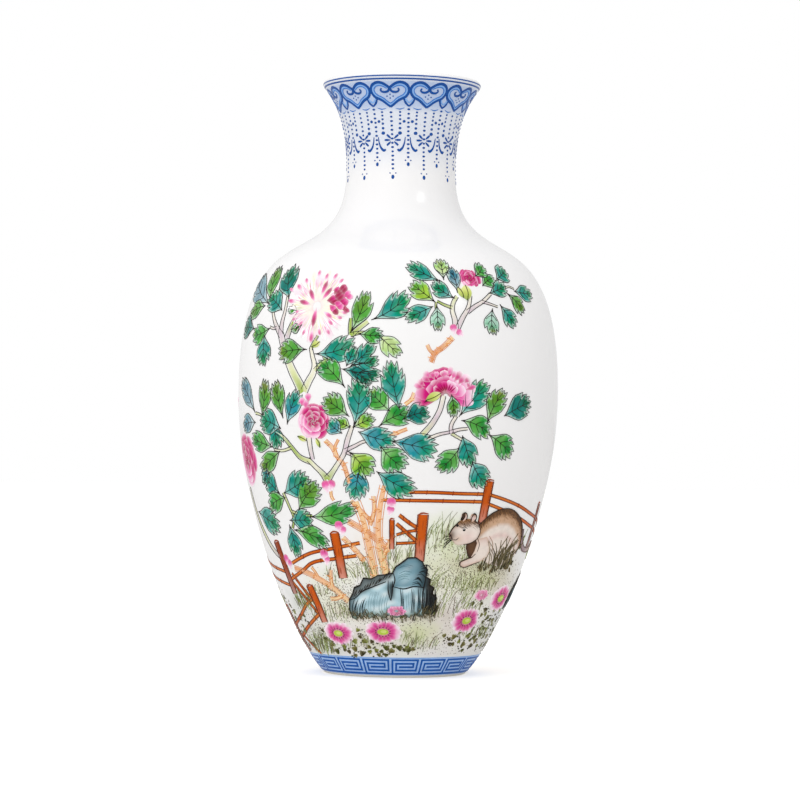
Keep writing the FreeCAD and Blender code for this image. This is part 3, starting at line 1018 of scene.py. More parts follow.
# Each stem: path, widths along it, and tones along it
STEMS = [
    ([(-26.4, 65.2), (-28, 67), (-31, 69.4), (-33.6, 71.6)], [2.6, 1.6, 1.5], "NCV"),
    ([(-31.6, 71.5), (-32.2, 74.5), (-32.6, 78.5)], [1.4, 1.8], "LC"),
    ([(-32.8, 70.8), (-37, 72.2), (-40.6, 75.4), (-44.6, 78.8), (-48, 80.4)], [1.9, 1.4, 1.0], "VNC"),
    ([(-40.8, 75.2), (-45, 74.3), (-50, 74.6)], [1.0, 0.7], "VC"),
    ([(-26.2, 65.2), (-24.4, 67), (-21.8, 70), (-19.2, 73.4), (-17.6, 78), (-15.8, 82.4)],
     [2.6, 1.7, 1.4, 1.7, 1.2], "NCLC"),
    ([(-18.8, 74.4), (-15, 76), (-11.4, 77.5), (-6.8, 76.6)], [1.2, 0.8], "LC"),
    ([(-18.4, 74), (-16.4, 73.2), (-14.6, 72.2)], [1.1, 0.7], "LC"),
    ([(-34.8, 93.2), (-36.6, 96), (-39.4, 99.8), (-42, 104), (-44.6, 108.6), (-46.4, 112.2)],
     [3.8, 3.2, 2.8, 2.6], "NVCL"),
    ([(-46.2, 111.8), (-49, 114.4), (-51.6, 117.4), (-53.4, 120.2)], [2.2, 1.4, 1.0], "LC"),
    ([(-34.2, 93.4), (-32.4, 96.6), (-30.4, 99.8), (-30.2, 102), (-31.2, 105), (-32, 107.6)],
     [2.8, 2.4, 1.6, 1.2], "VCC"),
    ([(-30, 100.2), (-27.4, 102.6), (-24.8, 103.8)], [1.2, 0.6], "VN"),
    ([(-32, 107), (-30.6, 109.6), (-29.4, 111.4)], [1.2, 0.8], "VN"),
    ([(-46.6, 112.2), (-46.6, 116), (-46, 120.2), (-46.4, 125)], [2.2, 1.3, 1.0], "LC"),
    ([(-49.2, 114.4), (-51.2, 114.2), (-53.4, 114.8)], [0.9, 0.7], "LC"),
    ([(-43.2, 111), (-42, 114), (-40.4, 117), (-38.2, 119.6)], [2.2, 1.8, 1.2], "LNV"),
    ([(-16.8, 111.6), (-17.2, 114), (-17.2, 117)], [1.8, 1.0], "NN"),
    ([(-16.8, 111.4), (-14, 113.8), (-11, 116)], [1.8, 1.6], "NV"),
    ([(-17, 111.6), (-14, 112.2), (-10.6, 112.4)], [1.4, 0.8], "NV"),
    ([(8.6, 79.8), (11.8, 83.4), (14.4, 87.8), (15.6, 92.4)], [1.9, 1.6, 1.6], "VLC"),
    ([(10.6, 78.6), (14.4, 80), (18.4, 80.8)], [1.1, 0.9], "CL"),
    ([(20.4, 86), (18.6, 82.8), (18.8, 80.4)], [1.1, 1.4], "CL"),
    ([(18.6, 80.8), (21.4, 81.6), (24.8, 82)], [1.2, 0.8], "LC"),
    ([(18.8, 80.4), (20.8, 79.4), (23, 78.4)], [1.0, 0.8], "VC"),
    ([(20.2, 113.6), (20, 117), (19.3, 120.2), (20, 122.6), (21.6, 124.6)], [1.9, 1.5, 1.2], "LCV"),
    ([(20.6, 113.6), (23, 117.6), (25.6, 121), (27.2, 125)], [1.7, 1.5, 1.1], "LC"),
    ([(25.2, 119.6), (28.6, 121.6), (32, 123.2), (36.4, 126)], [1.4, 1.0], "LC"),
    ([(31.8, 123.2), (35, 122.6), (38.6, 121.8)], [0.9, 0.6], "LC"),
    ([(19.4, 120.8), (16.6, 121.6), (13.8, 122.8)], [1.0, 0.7], "VN"),
    ([(13.4, 122.6), (13.2, 120.8), (13.4, 119)], [0.7, 0.6], "VN"),
    ([(44.8, 128.4), (47.4, 128.8), (50, 128.2)], [0.6, 0.5], "CC"),
    ([(-60.4, 86.6), (-57, 86), (-54, 84.6)], [0.9, 0.7], "VC"),
    ([(-48.2, 60.6), (-46, 56), (-44.6, 52.4), (-46.4, 49)], [1.1, 0.9], "VN"),
    ([(-45.4, 54.6), (-40.2, 53.6), (-34.8, 53.2)], [0.9, 0.8], "VN"),
    ([(-79, 62), (-77, 55), (-72, 47), (-65, 41), (-59, 38.6)], [1.8, 2.2, 1.6], "CVL"),
]

# Each branch: path, widths, tones, and how many thorns stand on it
BRANCHES = [
    ([(11.2, 103), (12.4, 105.8), (15.4, 108), (19, 111.2)], [1.6, 1.9, 1.5], "RRG", 5),
    ([(12.2, 105.6), (10.8, 106.8), (9.8, 108.6)], [1.2, 0.9], "RG", 0),
    ([(2.4, 89.4), (4.6, 91.2), (5.4, 93.2)], [1.4, 0.8], "GG", 0),
    ([(4, 90.8), (7.2, 91.4)], [1.0, 0.6], "GG", 0),
    ([(3.2, 81.6), (0, 80.4), (-2.8, 79.4)], [1.2, 0.8], "AG", 1),
    ([(-26, 77.6), (-23.6, 75.6), (-21.8, 72.6), (-19.6, 70.2), (-18.4, 67), (-17.6, 64)],
     [1.2, 1.3, 1.5], "GAA", 6),
    ([(-21, 78), (-22.4, 75.4), (-21.8, 73)], [0.8, 0.8], "AG", 0),
    ([(-9.2, 32.8), (-10.4, 40), (-11.6, 46), (-13, 52), (-15.4, 58.2)], [3.2, 2.9, 2.0], "GAG", 9),
    ([(-4, 35), (-6.6, 42), (-7.2, 50), (-6.2, 57), (-4.6, 63.4)], [3.2, 2.8, 2.0], "GAA", 9),
    ([(-10.4, 50.6), (-8.6, 55), (-8.6, 60)], [1.5, 1.0], "AG", 3),
    ([(-19.2, 51.8), (-12, 48.4), (-7, 45.6), (-2.6, 42.6)], [1.9, 2.1, 1.7], "ARA", 5),
    ([(-22, 46.4), (-17.6, 42.8), (-13.6, 38.8)], [1.5, 1.7], "GA", 4),
    ([(-17.4, 58.4), (-13, 54.6), (-9.6, 51.6)], [1.0, 1.3], "GA", 2),
    ([(-1, 47.6), (-3.4, 44), (-5.4, 40)], [1.3, 1.4], "AG", 2),
    ([(-51.6, 35.8), (-45, 34.8), (-38, 32.8), (-30.6, 29.8), (-23.4, 25.6)], [1.8, 2.0, 1.7], "RAG", 4),
    ([(-26, 27.4), (-29.4, 26.4), (-33.2, 26.2)], [1.2, 1.0], "GG", 0),
    ([(-30.8, 30.4), (-30.6, 33), (-30, 35.8)], [1.4, 0.9], "GA", 1),
    ([(-37.4, 33), (-38.6, 34.8), (-40.2, 36.4)], [1.0, 0.7], "AG", 0),
    ([(-25.2, 61.4), (-25.2, 59.8), (-24.4, 58.4)], [1.0, 0.8], "GG", 0),
]


def middle_line(path):
    """The points that a stroke along a path runs through."""
    return flowing(path, 0.5) if len(path) > 2 else np.array(path, float)


def branch(fills, path, width, tones, thorns):
    """A dry branch, painted in orange with short thorns and darker flecks."""
    slim = [w * 0.8 for w in width]
    faded = [blend(STEM_TONES[t], WHITE, 0.15) for t in tones]
    fills.stroke(path, slim, faded, 0, columns=7, edge_tone=RUST)
    line = middle_line(path)
    for i in range(thorns):
        t, h = line[int((i + 0.6) / thorns * (len(line) - 1))]
        k = per_degree(h)
        side = 1 if i % 2 else -1
        fills.stroke([(t, h), (t + side * 1.6 / k, h + 0.5)], [0.5, 0.22], [RUST, ORANGE], 1)
        fills.stroke([(t - 0.4 / k, h - 0.8), (t + 0.5 / k, h - 0.3)], [0.2, 0.4], [RUST, RUST], 2)


# ---------------------------------------------------------------- flowers

MAGENTA = paint("D00F7A")
CRIMSON = paint("A6054A")
DAISY_PINK = paint("D01C86")
ROSE = paint("EA54A6")
BLUSH = paint("F8BADB")
SHELL = paint("FCE6EF")
IVORY = paint("FBF6E6")
LEMON = paint("F6F2C4")
GREEN_SHADE = paint("E2E6C8")


def petal(fills, foot, tip, width, tones, layer=0, fullness=1.0, soft=0.5, grain=0.8, tatters=0.0):
    """A petal from its foot to its tip, shaded along its length and paler at its rim."""
    k = per_degree((foot[1] + tip[1]) / 2)
    run = ((tip[0] - foot[0]) * k, tip[1] - foot[1])
    length = math.hypot(*run)
    ux, uy = run[0] / length, run[1] / length
    edge = []
    for i in range(13):
        s = i / 12
        x = length * s
        y = width / 2 * math.sin(math.pi * s ** fullness) ** 0.7 if 0 < s < 1 else 0.0
        if tatters and s > 0.5:
            x += tatters * (1 if i % 2 else -0.6)
        edge.append((x, y))

    def place(x, y):
        return foot[0] + (ux * x - uy * y) / k, foot[1] + uy * x + ux * y

    rim = [place(x, -y) for x, y in edge] + [place(x, y) for x, y in edge[-2:0:-1]]

    def tone_at(turn, height, deep):
        s = ((turn - foot[0]) * k * ux + (height - foot[1]) * uy) / length
        return blend(ramp(s, tones), WHITE, soft * np.exp(-deep / 0.35))

    fills.flake(rim, tone_at, layer, grain, 0.07)


def around(centre, angle, out, tall=1.0):
    """A point at an angle and distance from a flower's centre; tall squashes it."""
    k = per_degree(centre[1])
    return centre[0] + math.cos(angle) * out / k, centre[1] + math.sin(angle) * out * tall


def great_peony(fills, at):
    """The large ivory flower: many narrow petals with pale lines and streaks between them."""
    foot_tone = BLUSH * 0.3 + IVORY * 0.7
    for ring, (count, far, wide) in enumerate(((26, 12.6, 2.6), (22, 10.6, 2.4), (16, 7.8, 2.2))):
        for i in range(count):
            a = math.tau * (i + 0.5 * (ring % 2) + brush.uniform(-0.25, 0.25)) / count
            reach = far * brush.uniform(0.88, 1.03)
            warm = brush.choice((IVORY, WHITE, SHELL, WHITE))
            petal(fills, around(at, a, 1.5), around(at, a, reach), wide, [foot_tone, IVORY, warm, warm], ring,
                  1.25, 0.2, 0.9)
    for i in range(84):
        a = math.tau * (i + brush.uniform(-0.4, 0.4)) / 84
        start, end = brush.uniform(2.5, 7), brush.uniform(8, 12.2)
        bend = a + brush.uniform(-0.06, 0.06)
        tone = brush.choice((BLUSH, ROSE * 0.5 + BLUSH * 0.5, BLUSH, GREEN_SHADE, LEMON * 0.92))
        fills.stroke([around(at, bend, start), around(at, a, (start + end) / 2), around(at, bend, end)],
                     [0.06, brush.uniform(0.22, 0.5), 0.08], [IVORY, tone, SHELL], 4, body=0.02, step=1.2)


# Where the crimson touches lie, from the large flower's centre, with their length
GREAT_TOUCHES = [
    (-2.4, 11.0, 1.8), (1.6, 9.8, 1.8), (5.4, 9.8, 1.8), (8.4, 8.2, 1.6), (-7.4, 8.6, 1.8),
    (-10.2, 6.6, 2.4), (2.0, 6.4, 3.4), (-3.2, 4.0, 3.4), (-6.0, 1.4, 3.4), (-12.4, 2.0, 2.6),
    (-14.0, 5.8, 1.8), (3.8, 4.4, 3.4), (11.4, -2.2, 1.6), (9.8, -3.8, 1.6), (6.4, -5.4, 2.0),
    (5.4, -3.0, 2.6), (-0.4, -4.2, 4.2), (-0.8, -10.0, 3.0), (2.4, -8.4, 1.8), (5.8, -8.4, 1.7),
    (-4.2, -8.4, 1.7), (-5.8, -5.4, 1.7), (-9.4, -4.0, 1.5), (8.6, 5.6, 1.6), (-8.4, -1.6, 1.4),
]
# The touches that crowd together at its right
GREAT_CLUSTER = [
    (6.0, 2.2, 3.2), (8.2, 3.4, 3.0), (6.8, -0.8, 2.8), (10.0, 1.4, 3.0), (9.4, 5.8, 2.6),
    (11.6, 3.8, 2.4), (7.2, 5.0, 2.4), (11.0, -0.6, 2.2), (8.6, 0.6, 2.8),
]


def crimson_touches(fills, at):
    """The crimson touches on the large flower, and the cluster of them at its right."""
    k = per_degree(at[1])
    for dt, dh, long in GREAT_TOUCHES:
        a = math.atan2(dh, dt * k)
        out = math.hypot(dt * k, dh)
        petal(fills, around(at, a, out - long * 0.9), around(at, a, out + long * 0.62), long * 0.34 + 0.45,
              [SHELL, ROSE, MAGENTA, CRIMSON, MAGENTA] if long > 3 else [SHELL, BLUSH, ROSE, MAGENTA, ROSE],
              6, 1.35, 0.4, 0.5)
    cluster_tones = ([CRIMSON, CRIMSON, MAGENTA, ROSE], [CRIMSON, CRIMSON, CRIMSON, MAGENTA],
                     [MAGENTA, MAGENTA, ROSE, BLUSH])
    for i, (dt, dh, long) in enumerate(GREAT_CLUSTER * 2):
        second = i >= len(GREAT_CLUSTER)
        here = (at[0] + dt + (0.9 if second else 0), at[1] + dh - (0.8 if second else 0))
        a = math.atan2(dh, dt * k) + brush.uniform(-0.7, 0.7)
        tones = cluster_tones[i % 3]
        if dt < 8.5 and i % 2:
            tones = [CRIMSON * 0.9, CRIMSON, CRIMSON]
        petal(fills, around(here, a, -long * 0.6), around(here, a, long * 0.6), long * 0.72, tones,
              7 + i % 3, 1.3, 0.2, 0.6)


FAN_SQUASH = 0.84        # a flower seen from the side is lower than it is wide
LIT_SIDE = 3.9           # the angle at which a full flower's petals are palest


def rose_peony(fills, at, size, tall=0.95, seedling=3, glow=0.15):
    """A full flower of rounded petals, deep at the foot and pale at the rim."""
    own = random.Random(seedling)
    rings = ((8, 1.0, 0.4, 0.74), (7, 0.84, 0.26, 0.66), (6, 0.62, 0.12, 0.54), (4, 0.42, 0.0, 0.4))
    for ring, (count, far, near, wide) in enumerate(rings):
        for i in range(count):
            a = math.tau * (i + 0.5 * (ring % 2) + own.uniform(-0.15, 0.15)) / count
            reach = size * far * own.uniform(0.9, 1.05)
            lit = math.cos(a - LIT_SIDE) > own.uniform(-0.2, 0.5) + 0.4 - glow * 3
            if lit and ring < 3:
                tones = [CRIMSON, MAGENTA, MAGENTA, ROSE, BLUSH, SHELL]
            else:
                tones = [CRIMSON, CRIMSON, CRIMSON, MAGENTA, own.choice((ROSE, MAGENTA, BLUSH))]
            petal(fills, around(at, a, size * near * 0.6, tall), around(at, a, reach, tall), size * wide,
                  tones, 2 * ring, 1.9, 0.45 if size > 5 else 0.12, 0.6, 0.1)
    for i in range(5):
        a = math.tau * i / 5
        hook = [around(at, a + further, out, tall) for further, out in ((0, 0.4), (0.8, 1.1), (1.5, 1.6))]
        fills.stroke(hook, [0.2, 0.5, 0.2], [CRIMSON, MAGENTA, CRIMSON], 8, step=0.4)


def fan_peony(fills, foot, size, seedling=5):
    """A flower seen from the side: petals fan upwards from its foot, ragged at the top, pale at the right."""
    own = random.Random(seedling)
    layers = ((9, -16, 1.08, 0.5), (8, 8, 0.96, 0.46), (7, 26, 0.78, 0.42), (6, 36, 0.58, 0.36))
    for ring, (count, first, far, wide) in enumerate(layers):
        for i in range(count):
            a = math.radians(first + (180 - 2 * first) * i / (count - 1) + own.uniform(-6, 6))
            reach = size * far * own.uniform(0.88, 1.06)
            right = math.cos(a) > 0.5 - 0.1 * ring
            if right:
                tones = [CRIMSON, MAGENTA, ROSE, BLUSH, WHITE]
            else:
                tones = [CRIMSON, CRIMSON, MAGENTA, own.choice((ROSE, MAGENTA, BLUSH, SHELL))]
            petal(fills, around(foot, a, size * 0.06, 0.8), around(foot, a, reach, FAN_SQUASH), size * wide,
                  tones, 2 * ring, 1.8, 0.3, 0.6, 0.2)
    for i in range(15):
        a = math.radians(20 + 140 * i / 14)
        tones = [MAGENTA, own.choice((ROSE, MAGENTA)), own.choice((SHELL, BLUSH, ROSE))]
        start = around(foot, a + own.uniform(-0.12, 0.12), size * own.uniform(0.55, 0.8), FAN_SQUASH)
        end = around(foot, a, size * own.uniform(0.9, 1.12), FAN_SQUASH)
        petal(fills, start, end, own.uniform(1.4, 2.3), tones, 8, 1.7, 0.3, 0.5, 0.15)
    for i in range(8):
        a = math.radians(40 + 100 * i / 7)
        streak = [around(foot, a, size * 0.2, FAN_SQUASH), around(foot, a + 0.06, size * 0.45, FAN_SQUASH)]
        fills.stroke(streak, [0.2, 0.6, 0.1], [CRIMSON * 0.8, CRIMSON, MAGENTA], 10, body=0.02)


def sheath(fills, at, size, lean):
    """A pink bud scale on a stem, bright at the top and fading down."""
    for side in (-1, 0, 1):
        a = -math.pi / 2 + lean + side * 0.42
        start = around(at, a + math.pi, size * 0.45)
        petal(fills, start, around(at, a, size * (0.62 - 0.16 * abs(side))), size * 0.62,
              [MAGENTA, ROSE, BLUSH, WHITE], 2 + abs(side), 0.75, 0.25, 0.7)


# Each flower of the field: centre, half width in degrees, half height
DAISIES = [
    ((-34, 14.7), 9.2, 3.7), ((-6.8, 15.7), 9.6, 3.6), ((41, 19.3), 9.0, 4.0), ((64, 26.3), 9.4, 4.2),
    ((45.5, 27.8), 4.2, 1.7), ((0.5, 22.8), 4.6, 1.6), ((112, 18), 9.0, 3.8), ((134, 14.6), 9.2, 3.6),
    ((158, 20), 9.0, 3.9), ((-172, 15), 9.4, 3.6), ((-146, 22), 9.0, 4.0), ((-118, 16), 9.2, 3.7),
]


def daisy(fills, inks, at, wide, tall):
    """A flower of the field, seen a little from the side."""
    k = per_degree(at[1])
    out = wide * k
    squash = tall / out
    big = out > 3
    count = 15 if big else 8
    layer = 2 if big else 14      # the small ones stand before the rock
    fills.dab(at, (out * 2.1, tall * 2.1), SHELL, 1)
    for ring in range(2):
        deep_ring = [DAISY_PINK, MAGENTA, DAISY_PINK, ROSE, BLUSH]
        tones = deep_ring if ring or not big else [DAISY_PINK, ROSE, BLUSH, WHITE]
        for i in range(count):
            a = math.tau * (i + 0.5 * ring + brush.uniform(-0.2, 0.2)) / count
            reach = out * brush.uniform(0.9, 1.1) * (1.08 - 0.14 * ring)
            petal(fills, around(at, a, out * 0.2, squash), around(at, a, reach, squash),
                  out * (0.36 if ring else 0.4), tones, layer + ring * 2, 1.3, 0.3, 0.6)
    if big:
        fills.dab(at, (out * 0.66, tall * 0.56), paint("B9D24E"), 8)
        fills.dab((at[0] + 0.4, at[1] + 0.15), (out * 0.34, tall * 0.28), paint("D9E580"), 10)
        for i in range(14):
            a = math.tau * (i + 0.4) / 14
            inks.dab(around(at, a, out * 0.42, squash), (0.36, 0.34), paint("4A1B34"), 10)


# ---------------------------------------------------------------- the fence

RED_CLAY = paint("CC5A12")
LIGHT_RED = paint("DE7A30")
DARK_RED = paint("963C10")
MAUVE_WOOD = paint("9A6A5C")

# Each upright post: turn at the foot, low, high, lean in degrees at the top, width, colour
POSTS = [
    (35.6, 51.0, 65.2, 0.6, 3.2, RED_CLAY), (9.8, 39.0, 54.2, 0.4, 3.3, RED_CLAY),
    (-1.8, 43, 52.4, 0, 1.5, RED_CLAY), (-24.2, 33.2, 47.8, -1.4, 3.1, RED_CLAY),
    (-57.8, 27.2, 44.2, -3.0, 3.0, DARK_RED), (-41.2, 18.2, 30.0, -3.2, 2.8, RED_CLAY),
    (-75, 7.4, 22.4, -4.0, 2.6, MAUVE_WOOD), (75, 43.2, 57.8, 0.5, 2.4, MAUVE_WOOD),
    (108, 36, 52, 0.5, 3.0, RED_CLAY), (141, 33, 49, 0.0, 3.0, RED_CLAY),
    (172, 36, 52, 0.3, 3.0, RED_CLAY), (-158, 36, 52, 0.4, 3.0, RED_CLAY),
    (-127, 32, 48, -0.5, 3.0, RED_CLAY), (-98, 27, 44, -1.0, 2.8, DARK_RED),
]
# Each rail: its path and its width
RAILS = [
    ([(3, 61.4), (13, 61.4), (24, 61.1), (34.4, 61.0)], 0.95),
    ([(-5, 58.8), (13.5, 58.7), (34.2, 58.5)], 0.95),
    ([(37.2, 60.8), (45, 59.3), (55, 57.2), (65, 54.9), (80, 52.3), (92, 50), (108, 47.4)], 0.95),
    ([(37.2, 57.8), (44, 56.2), (58, 53), (66, 51.2), (80, 48.8), (94, 46.4), (108, 43.6)], 0.95),
    ([(1, 54), (4.5, 51.8), (8.4, 49.8)], 1.1), ([(0, 51.2), (4, 48.4), (8.4, 45.4)], 1.1),
    ([(0, 47.6), (4, 48.6), (8.4, 49.2)], 0.8), ([(0, 44.8), (8.2, 45.2)], 0.8),
    ([(-52.4, 37.4), (-46, 39.2), (-40, 40.8), (-26.4, 42.9), (-15, 44.8)], 1.0),
    ([(-56.8, 32), (-46, 35.2), (-40, 37.6), (-26.4, 39.5), (-17, 40.6)], 1.0),
    ([(-56.8, 31.2), (-50, 26), (-44, 20.8)], 1.0), ([(-55, 34), (-49.4, 29), (-44.4, 25)], 1.0),
    ([(-90, 15.4), (-80, 16), (-72, 17.2), (-60, 20.2), (-50, 24.2), (-43.6, 26.2)], 1.0),
    ([(-88, 12.2), (-70, 13.2), (-60, 15.6), (-50, 18.6), (-43.6, 20.8)], 1.0),
    ([(-70, 12.8), (-57, 7.2)], 0.9),
    ([(108, 47.6), (124, 46.2), (141, 45), (157, 46.4), (172, 48), (186, 48.6), (202, 48)], 0.95),
    ([(108, 43.4), (124, 42), (141, 41), (157, 42.4), (172, 43.8), (186, 44.4), (202, 43.8)], 0.95),
    ([(-158, 48), (-142, 46), (-127, 44), (-112, 41.6), (-98, 39.6), (-78, 36.4), (-60.6, 34.4)], 0.95),
    ([(-158, 43.8), (-142, 41.8), (-127, 39.8), (-112, 37.4), (-98, 35), (-78, 32), (-60.6, 30)], 0.95),
]


def post(fills, inks, foot, low, high, lean, width, tone):
    """An upright post with its drawn sides, its cap and the grain of its wood."""
    path = [(foot, low), (foot + lean * 0.4, (low + high) / 2), (foot + lean, high)]
    light = blend(tone, WHITE, 0.22)
    fills.stroke(path, [width * 1.02, width], [light, tone, tone], 2, columns=7, smooth=False,
                 edge_tone=DARK_RED)
    for gap in (-0.5, 0.5):
        inks.stroke(beside(path, gap * width), INK, blend(INK_BROWN, DARK_RED, 0.4), 4, body=0.03)
    k = per_degree(high)
    cap = [(foot + lean - width * 0.52 / k, high - 0.2), (foot + lean - width * 0.2 / k, high + 0.45),
           (foot + lean + width * 0.52 / k, high + 0.3)]
    inks.stroke(cap, [0.3, 0.6, 0.3], DARK_RED, 4)
    for i in range(6):
        t = foot + lean * 0.5 + brush.uniform(-0.36, 0.36) * width / k
        h = brush.uniform(low + 1, high - 3)
        inks.stroke([(t, h), (t, h + brush.uniform(1.4, 3.4))], [0.08, 0.2, 0.08], DARK_RED, 5, body=0.02)


def rail(fills, inks, path, width):
    """A rail with its drawn sides and a few ties."""
    fills.stroke(path, width, [LIGHT_RED, RED_CLAY, LIGHT_RED], 0, columns=5, edge_tone=DARK_RED)
    for gap in (-0.5, 0.5):
        inks.stroke(beside(path, gap * width), INK * 0.8, blend(INK_BROWN, DARK_RED, 0.5), 1, body=0.03)
    line = middle_line(path)
    for share in np.arange(0.25, 0.95, 0.33):
        t, h = line[int(share * (len(line) - 1))]
        inks.stroke([(t, h - width * 0.75), (t + 0.2, h + width * 0.75)], [0.25, 0.35, 0.25], DARK_RED, 3)


# ---------------------------------------------------------------- rock

# The rim of the front rock: turn, height
ROCK = [
    (-22.6, 20), (-23.6, 23), (-22.6, 26.4), (-20.6, 28.2), (-19.4, 30.2), (-16.5, 31), (-14.6, 33.4),
    (-11, 33.2), (-8, 34.4), (-5, 34.6), (-1.5, 35.2), (-0.2, 37.2), (2.4, 38.6), (5, 40.2), (8.4, 40.3),
    (11.2, 39), (12.4, 37.4), (13.8, 36.2), (13.6, 34), (15.6, 33.2), (15.4, 31.4), (17.8, 30.4),
    (17, 28.6), (19.8, 27.2), (19.2, 25.6), (21, 24), (18.6, 21.6), (15, 21.8), (12.4, 20.8), (10, 21.6),
    (7, 20.5), (4.4, 21.4), (0.6, 20.4), (-3, 21.3), (-6.4, 20.3), (-9.6, 21.2), (-13, 20.2),
    (-15.6, 21.2), (-17.6, 20.0), (-19.6, 20.9), (-20.8, 19.6),
]


def rock_tone(turn, height, deep):
    """Slate blue, dark at the right of each boulder and in the cleft, pale on the faces."""
    faces = [paint("9ABCC6"), paint("B6D6E0"), paint("DCECF0")]
    blue = ramp(0.5 + 0.5 * mottle(turn * 0.35, height * 0.9, 2.0), faces)
    crown = ease(height, 30.2, 31.2) * ease(turn, -1.4, 0.4)
    off_the_light = 1 - np.exp(-((turn - 3.6) / 3) ** 2 - ((height - 34.4) / 2) ** 2)
    blue = blend(blue, paint("3D7488"), 0.7 * crown * off_the_light)
    blue = blend(blue, paint("2E4148"), ease(turn, 7.5, 13) * ease(height, 27, 31) * 0.92)
    blue = blend(blue, paint("33302C"), ease(turn, 12.6, 15.5) * 0.95)
    cleft = np.exp(-((turn + 2.0) / 1.7) ** 2 - ((height - 29.6) / 3.0) ** 4)
    blue = blend(blue, paint("20282B"), 0.95 * cleft)
    blue = blend(blue, paint("4F6870"), 0.8 * (1 - ease(turn, -22.6, -18.4 + (height - 22) * 0.4)))
    ridge = 25.6 + (turn + 22) * 0.36
    over_ridge = ease(height, ridge - 0.4, ridge + 1.6) * (1 - ease(turn, -2.5, 0.5))
    blue = blend(blue, paint("4A4036"), 0.75 * over_ridge)
    sheets = 0.5 + 0.5 * np.sin(turn * 2.6 + height * 0.12)
    blue = blend(blue, paint("2A3438"), 0.65 * sheets * ease(turn, 6, 11) * (1 - ease(height, 27, 30)))
    dirt = 0.6 * (1 - ease(height, 20.5, 24))
    return blend(blend(blue, paint("8C9670"), dirt), paint("2A2826"), np.exp(-deep / 0.4) * 0.8)


def hatch(inks, count, start, gap, run, widths, code, stray):
    """A row of nearly parallel brush lines: the first line's start, the gap between lines, and their run."""
    own = random.Random(count)
    for i in range(count):
        t = start[0] + gap[0] * i + own.uniform(-stray, stray)
        h = start[1] + gap[1] * i + own.uniform(-stray, stray)
        long = own.uniform(0.6, 1.15)
        path = [(t, h), *((t + dt * long, h + dh * long) for dt, dh in run)]
        inks.stroke(path, [w * own.uniform(0.6, 1.2) for w in widths], paint(code), 9, body=0.02, step=1.0)


# Where the rock is cleft or broken
CLEFTS = [
    [(13.2, 38.0), (13.4, 34), (12.8, 29), (13.4, 23.4)], [(-1.2, 35.4), (-0.4, 33), (-1.2, 30.6)],
    [(-3.4, 32.8), (-3.4, 29), (-2.4, 26.4)], [(-1.4, 32.6), (-1.6, 29), (-2.2, 26.2)],
    [(-1.2, 30.8), (3.6, 30.1), (8.4, 30.9), (12.8, 30.6)],
    [(-23, 26), (-19.6, 26.8), (-15.8, 29.0), (-10.6, 30.6), (-4.4, 32.4)],
]
# Rows of brush lines: how many, where the first starts, the gap to the next, their run, widths, colour
# and how far they stray
ROCK_HATCHES = [
    (12, (-22.2, 20.6), (0.62, 0.1), ((0.2, 3.0), (2.2, 6.2)), (0.36, 0.3, 0.08), "26343A", 0.3),
    (10, (-13.4, 23.0), (0.95, 0.05), ((0.2, 2.6), (1.6, 6.0)), (0.08, 0.16, 0.06), "5E8894", 0.5),
    *((5, (foot, 22.0), (0.36, 0.1), ((0.1, 3.0), (-0.5, 7.6)), (0.12, 0.3, 0.1), "28383E", 0.2)
      for foot in (2.6, 7.8, 10.8)),
    (9, (4.0, 22.6), (1.0, 0.0), ((0.1, 2.6), (-0.2, 6.4)), (0.06, 0.16, 0.06), "4C7480", 0.4),
    (10, (12.6, 22.6), (0.74, 0.1), ((0.4, 3.0), (-0.2, 7.4)), (0.2, 0.6, 0.2), "141617", 0.4),
    (6, (1.0, 32.4), (0.0, 0.95), ((2.6, 0.9), (5.4, 0.6)), (0.06, 0.16, 0.08), "2F5561", 0.5),
    (11, (7.4, 31.4), (0.38, 0.62), ((2.2, 0.5), (4.4, -0.9)), (0.1, 0.42, 0.2), "182023", 0.5),
    (30, (-20.4, 27.2), (0.62, 0.25), ((0.9, 0.9), (1.6, 1.8)), (0.12, 0.36, 0.08), "241C16", 0.6),
]


def rock_lines(inks):
    """Brush lines that follow the boulders' faces, and the drawn rim."""
    inks.stroke(ROCK[:27], [0.3, 0.5, 0.25, 0.45, 0.3, 0.6, 0.4], INK_BROWN, 10, smooth=False, body=0.03)
    for row in ROCK_HATCHES:
        hatch(inks, *row)
    for path in CLEFTS:
        inks.stroke(path, [0.2, 0.5, 0.3], paint("1B1A19"), 10)


# ---------------------------------------------------------------- the animal

# The rims of its parts and the path of its tail: turn, height
BODY = [
    (33.6, 50.6), (36.6, 52.8), (40, 54.8), (45, 56.2), (50, 56.2), (55, 54.6), (59.6, 52), (62.6, 48.4),
    (63.6, 45), (62, 41.4), (57, 38.2), (50, 37.2), (44, 38.2), (39.6, 39.6), (36.4, 41), (34.6, 43.8),
    (33, 46.6),
]
HEAD = [
    (21.4, 47.8), (22.2, 49.4), (23.6, 50.8), (25.2, 52.2), (26.8, 53.0), (29, 53.0), (31.6, 52.4),
    (34.2, 51), (35.4, 48.8), (34.4, 46.6), (31.6, 45.2), (28.4, 44.7), (26.2, 44.5), (24.6, 44.8),
    (23.4, 45.8), (21.8, 46.6),
]
CHEST = [(30, 45.4), (33.6, 46.6), (35.6, 44.4), (35.2, 41.6), (32.8, 40.2), (31, 41.8), (30, 43.4)]
FORELEG = [
    (35.2, 46.4), (39.4, 47.2), (42.6, 44.2), (42.2, 40.6), (38.4, 39.0), (34, 38.0), (30.6, 37.2),
    (28.6, 37.8), (28.4, 38.8), (30.4, 39.6), (33.2, 40.4), (34.4, 42.6),
]
TAIL = [(62.8, 49.2), (65, 45.4), (68.4, 43.2), (73, 42.4), (78.6, 42.6), (83.6, 44.6)]
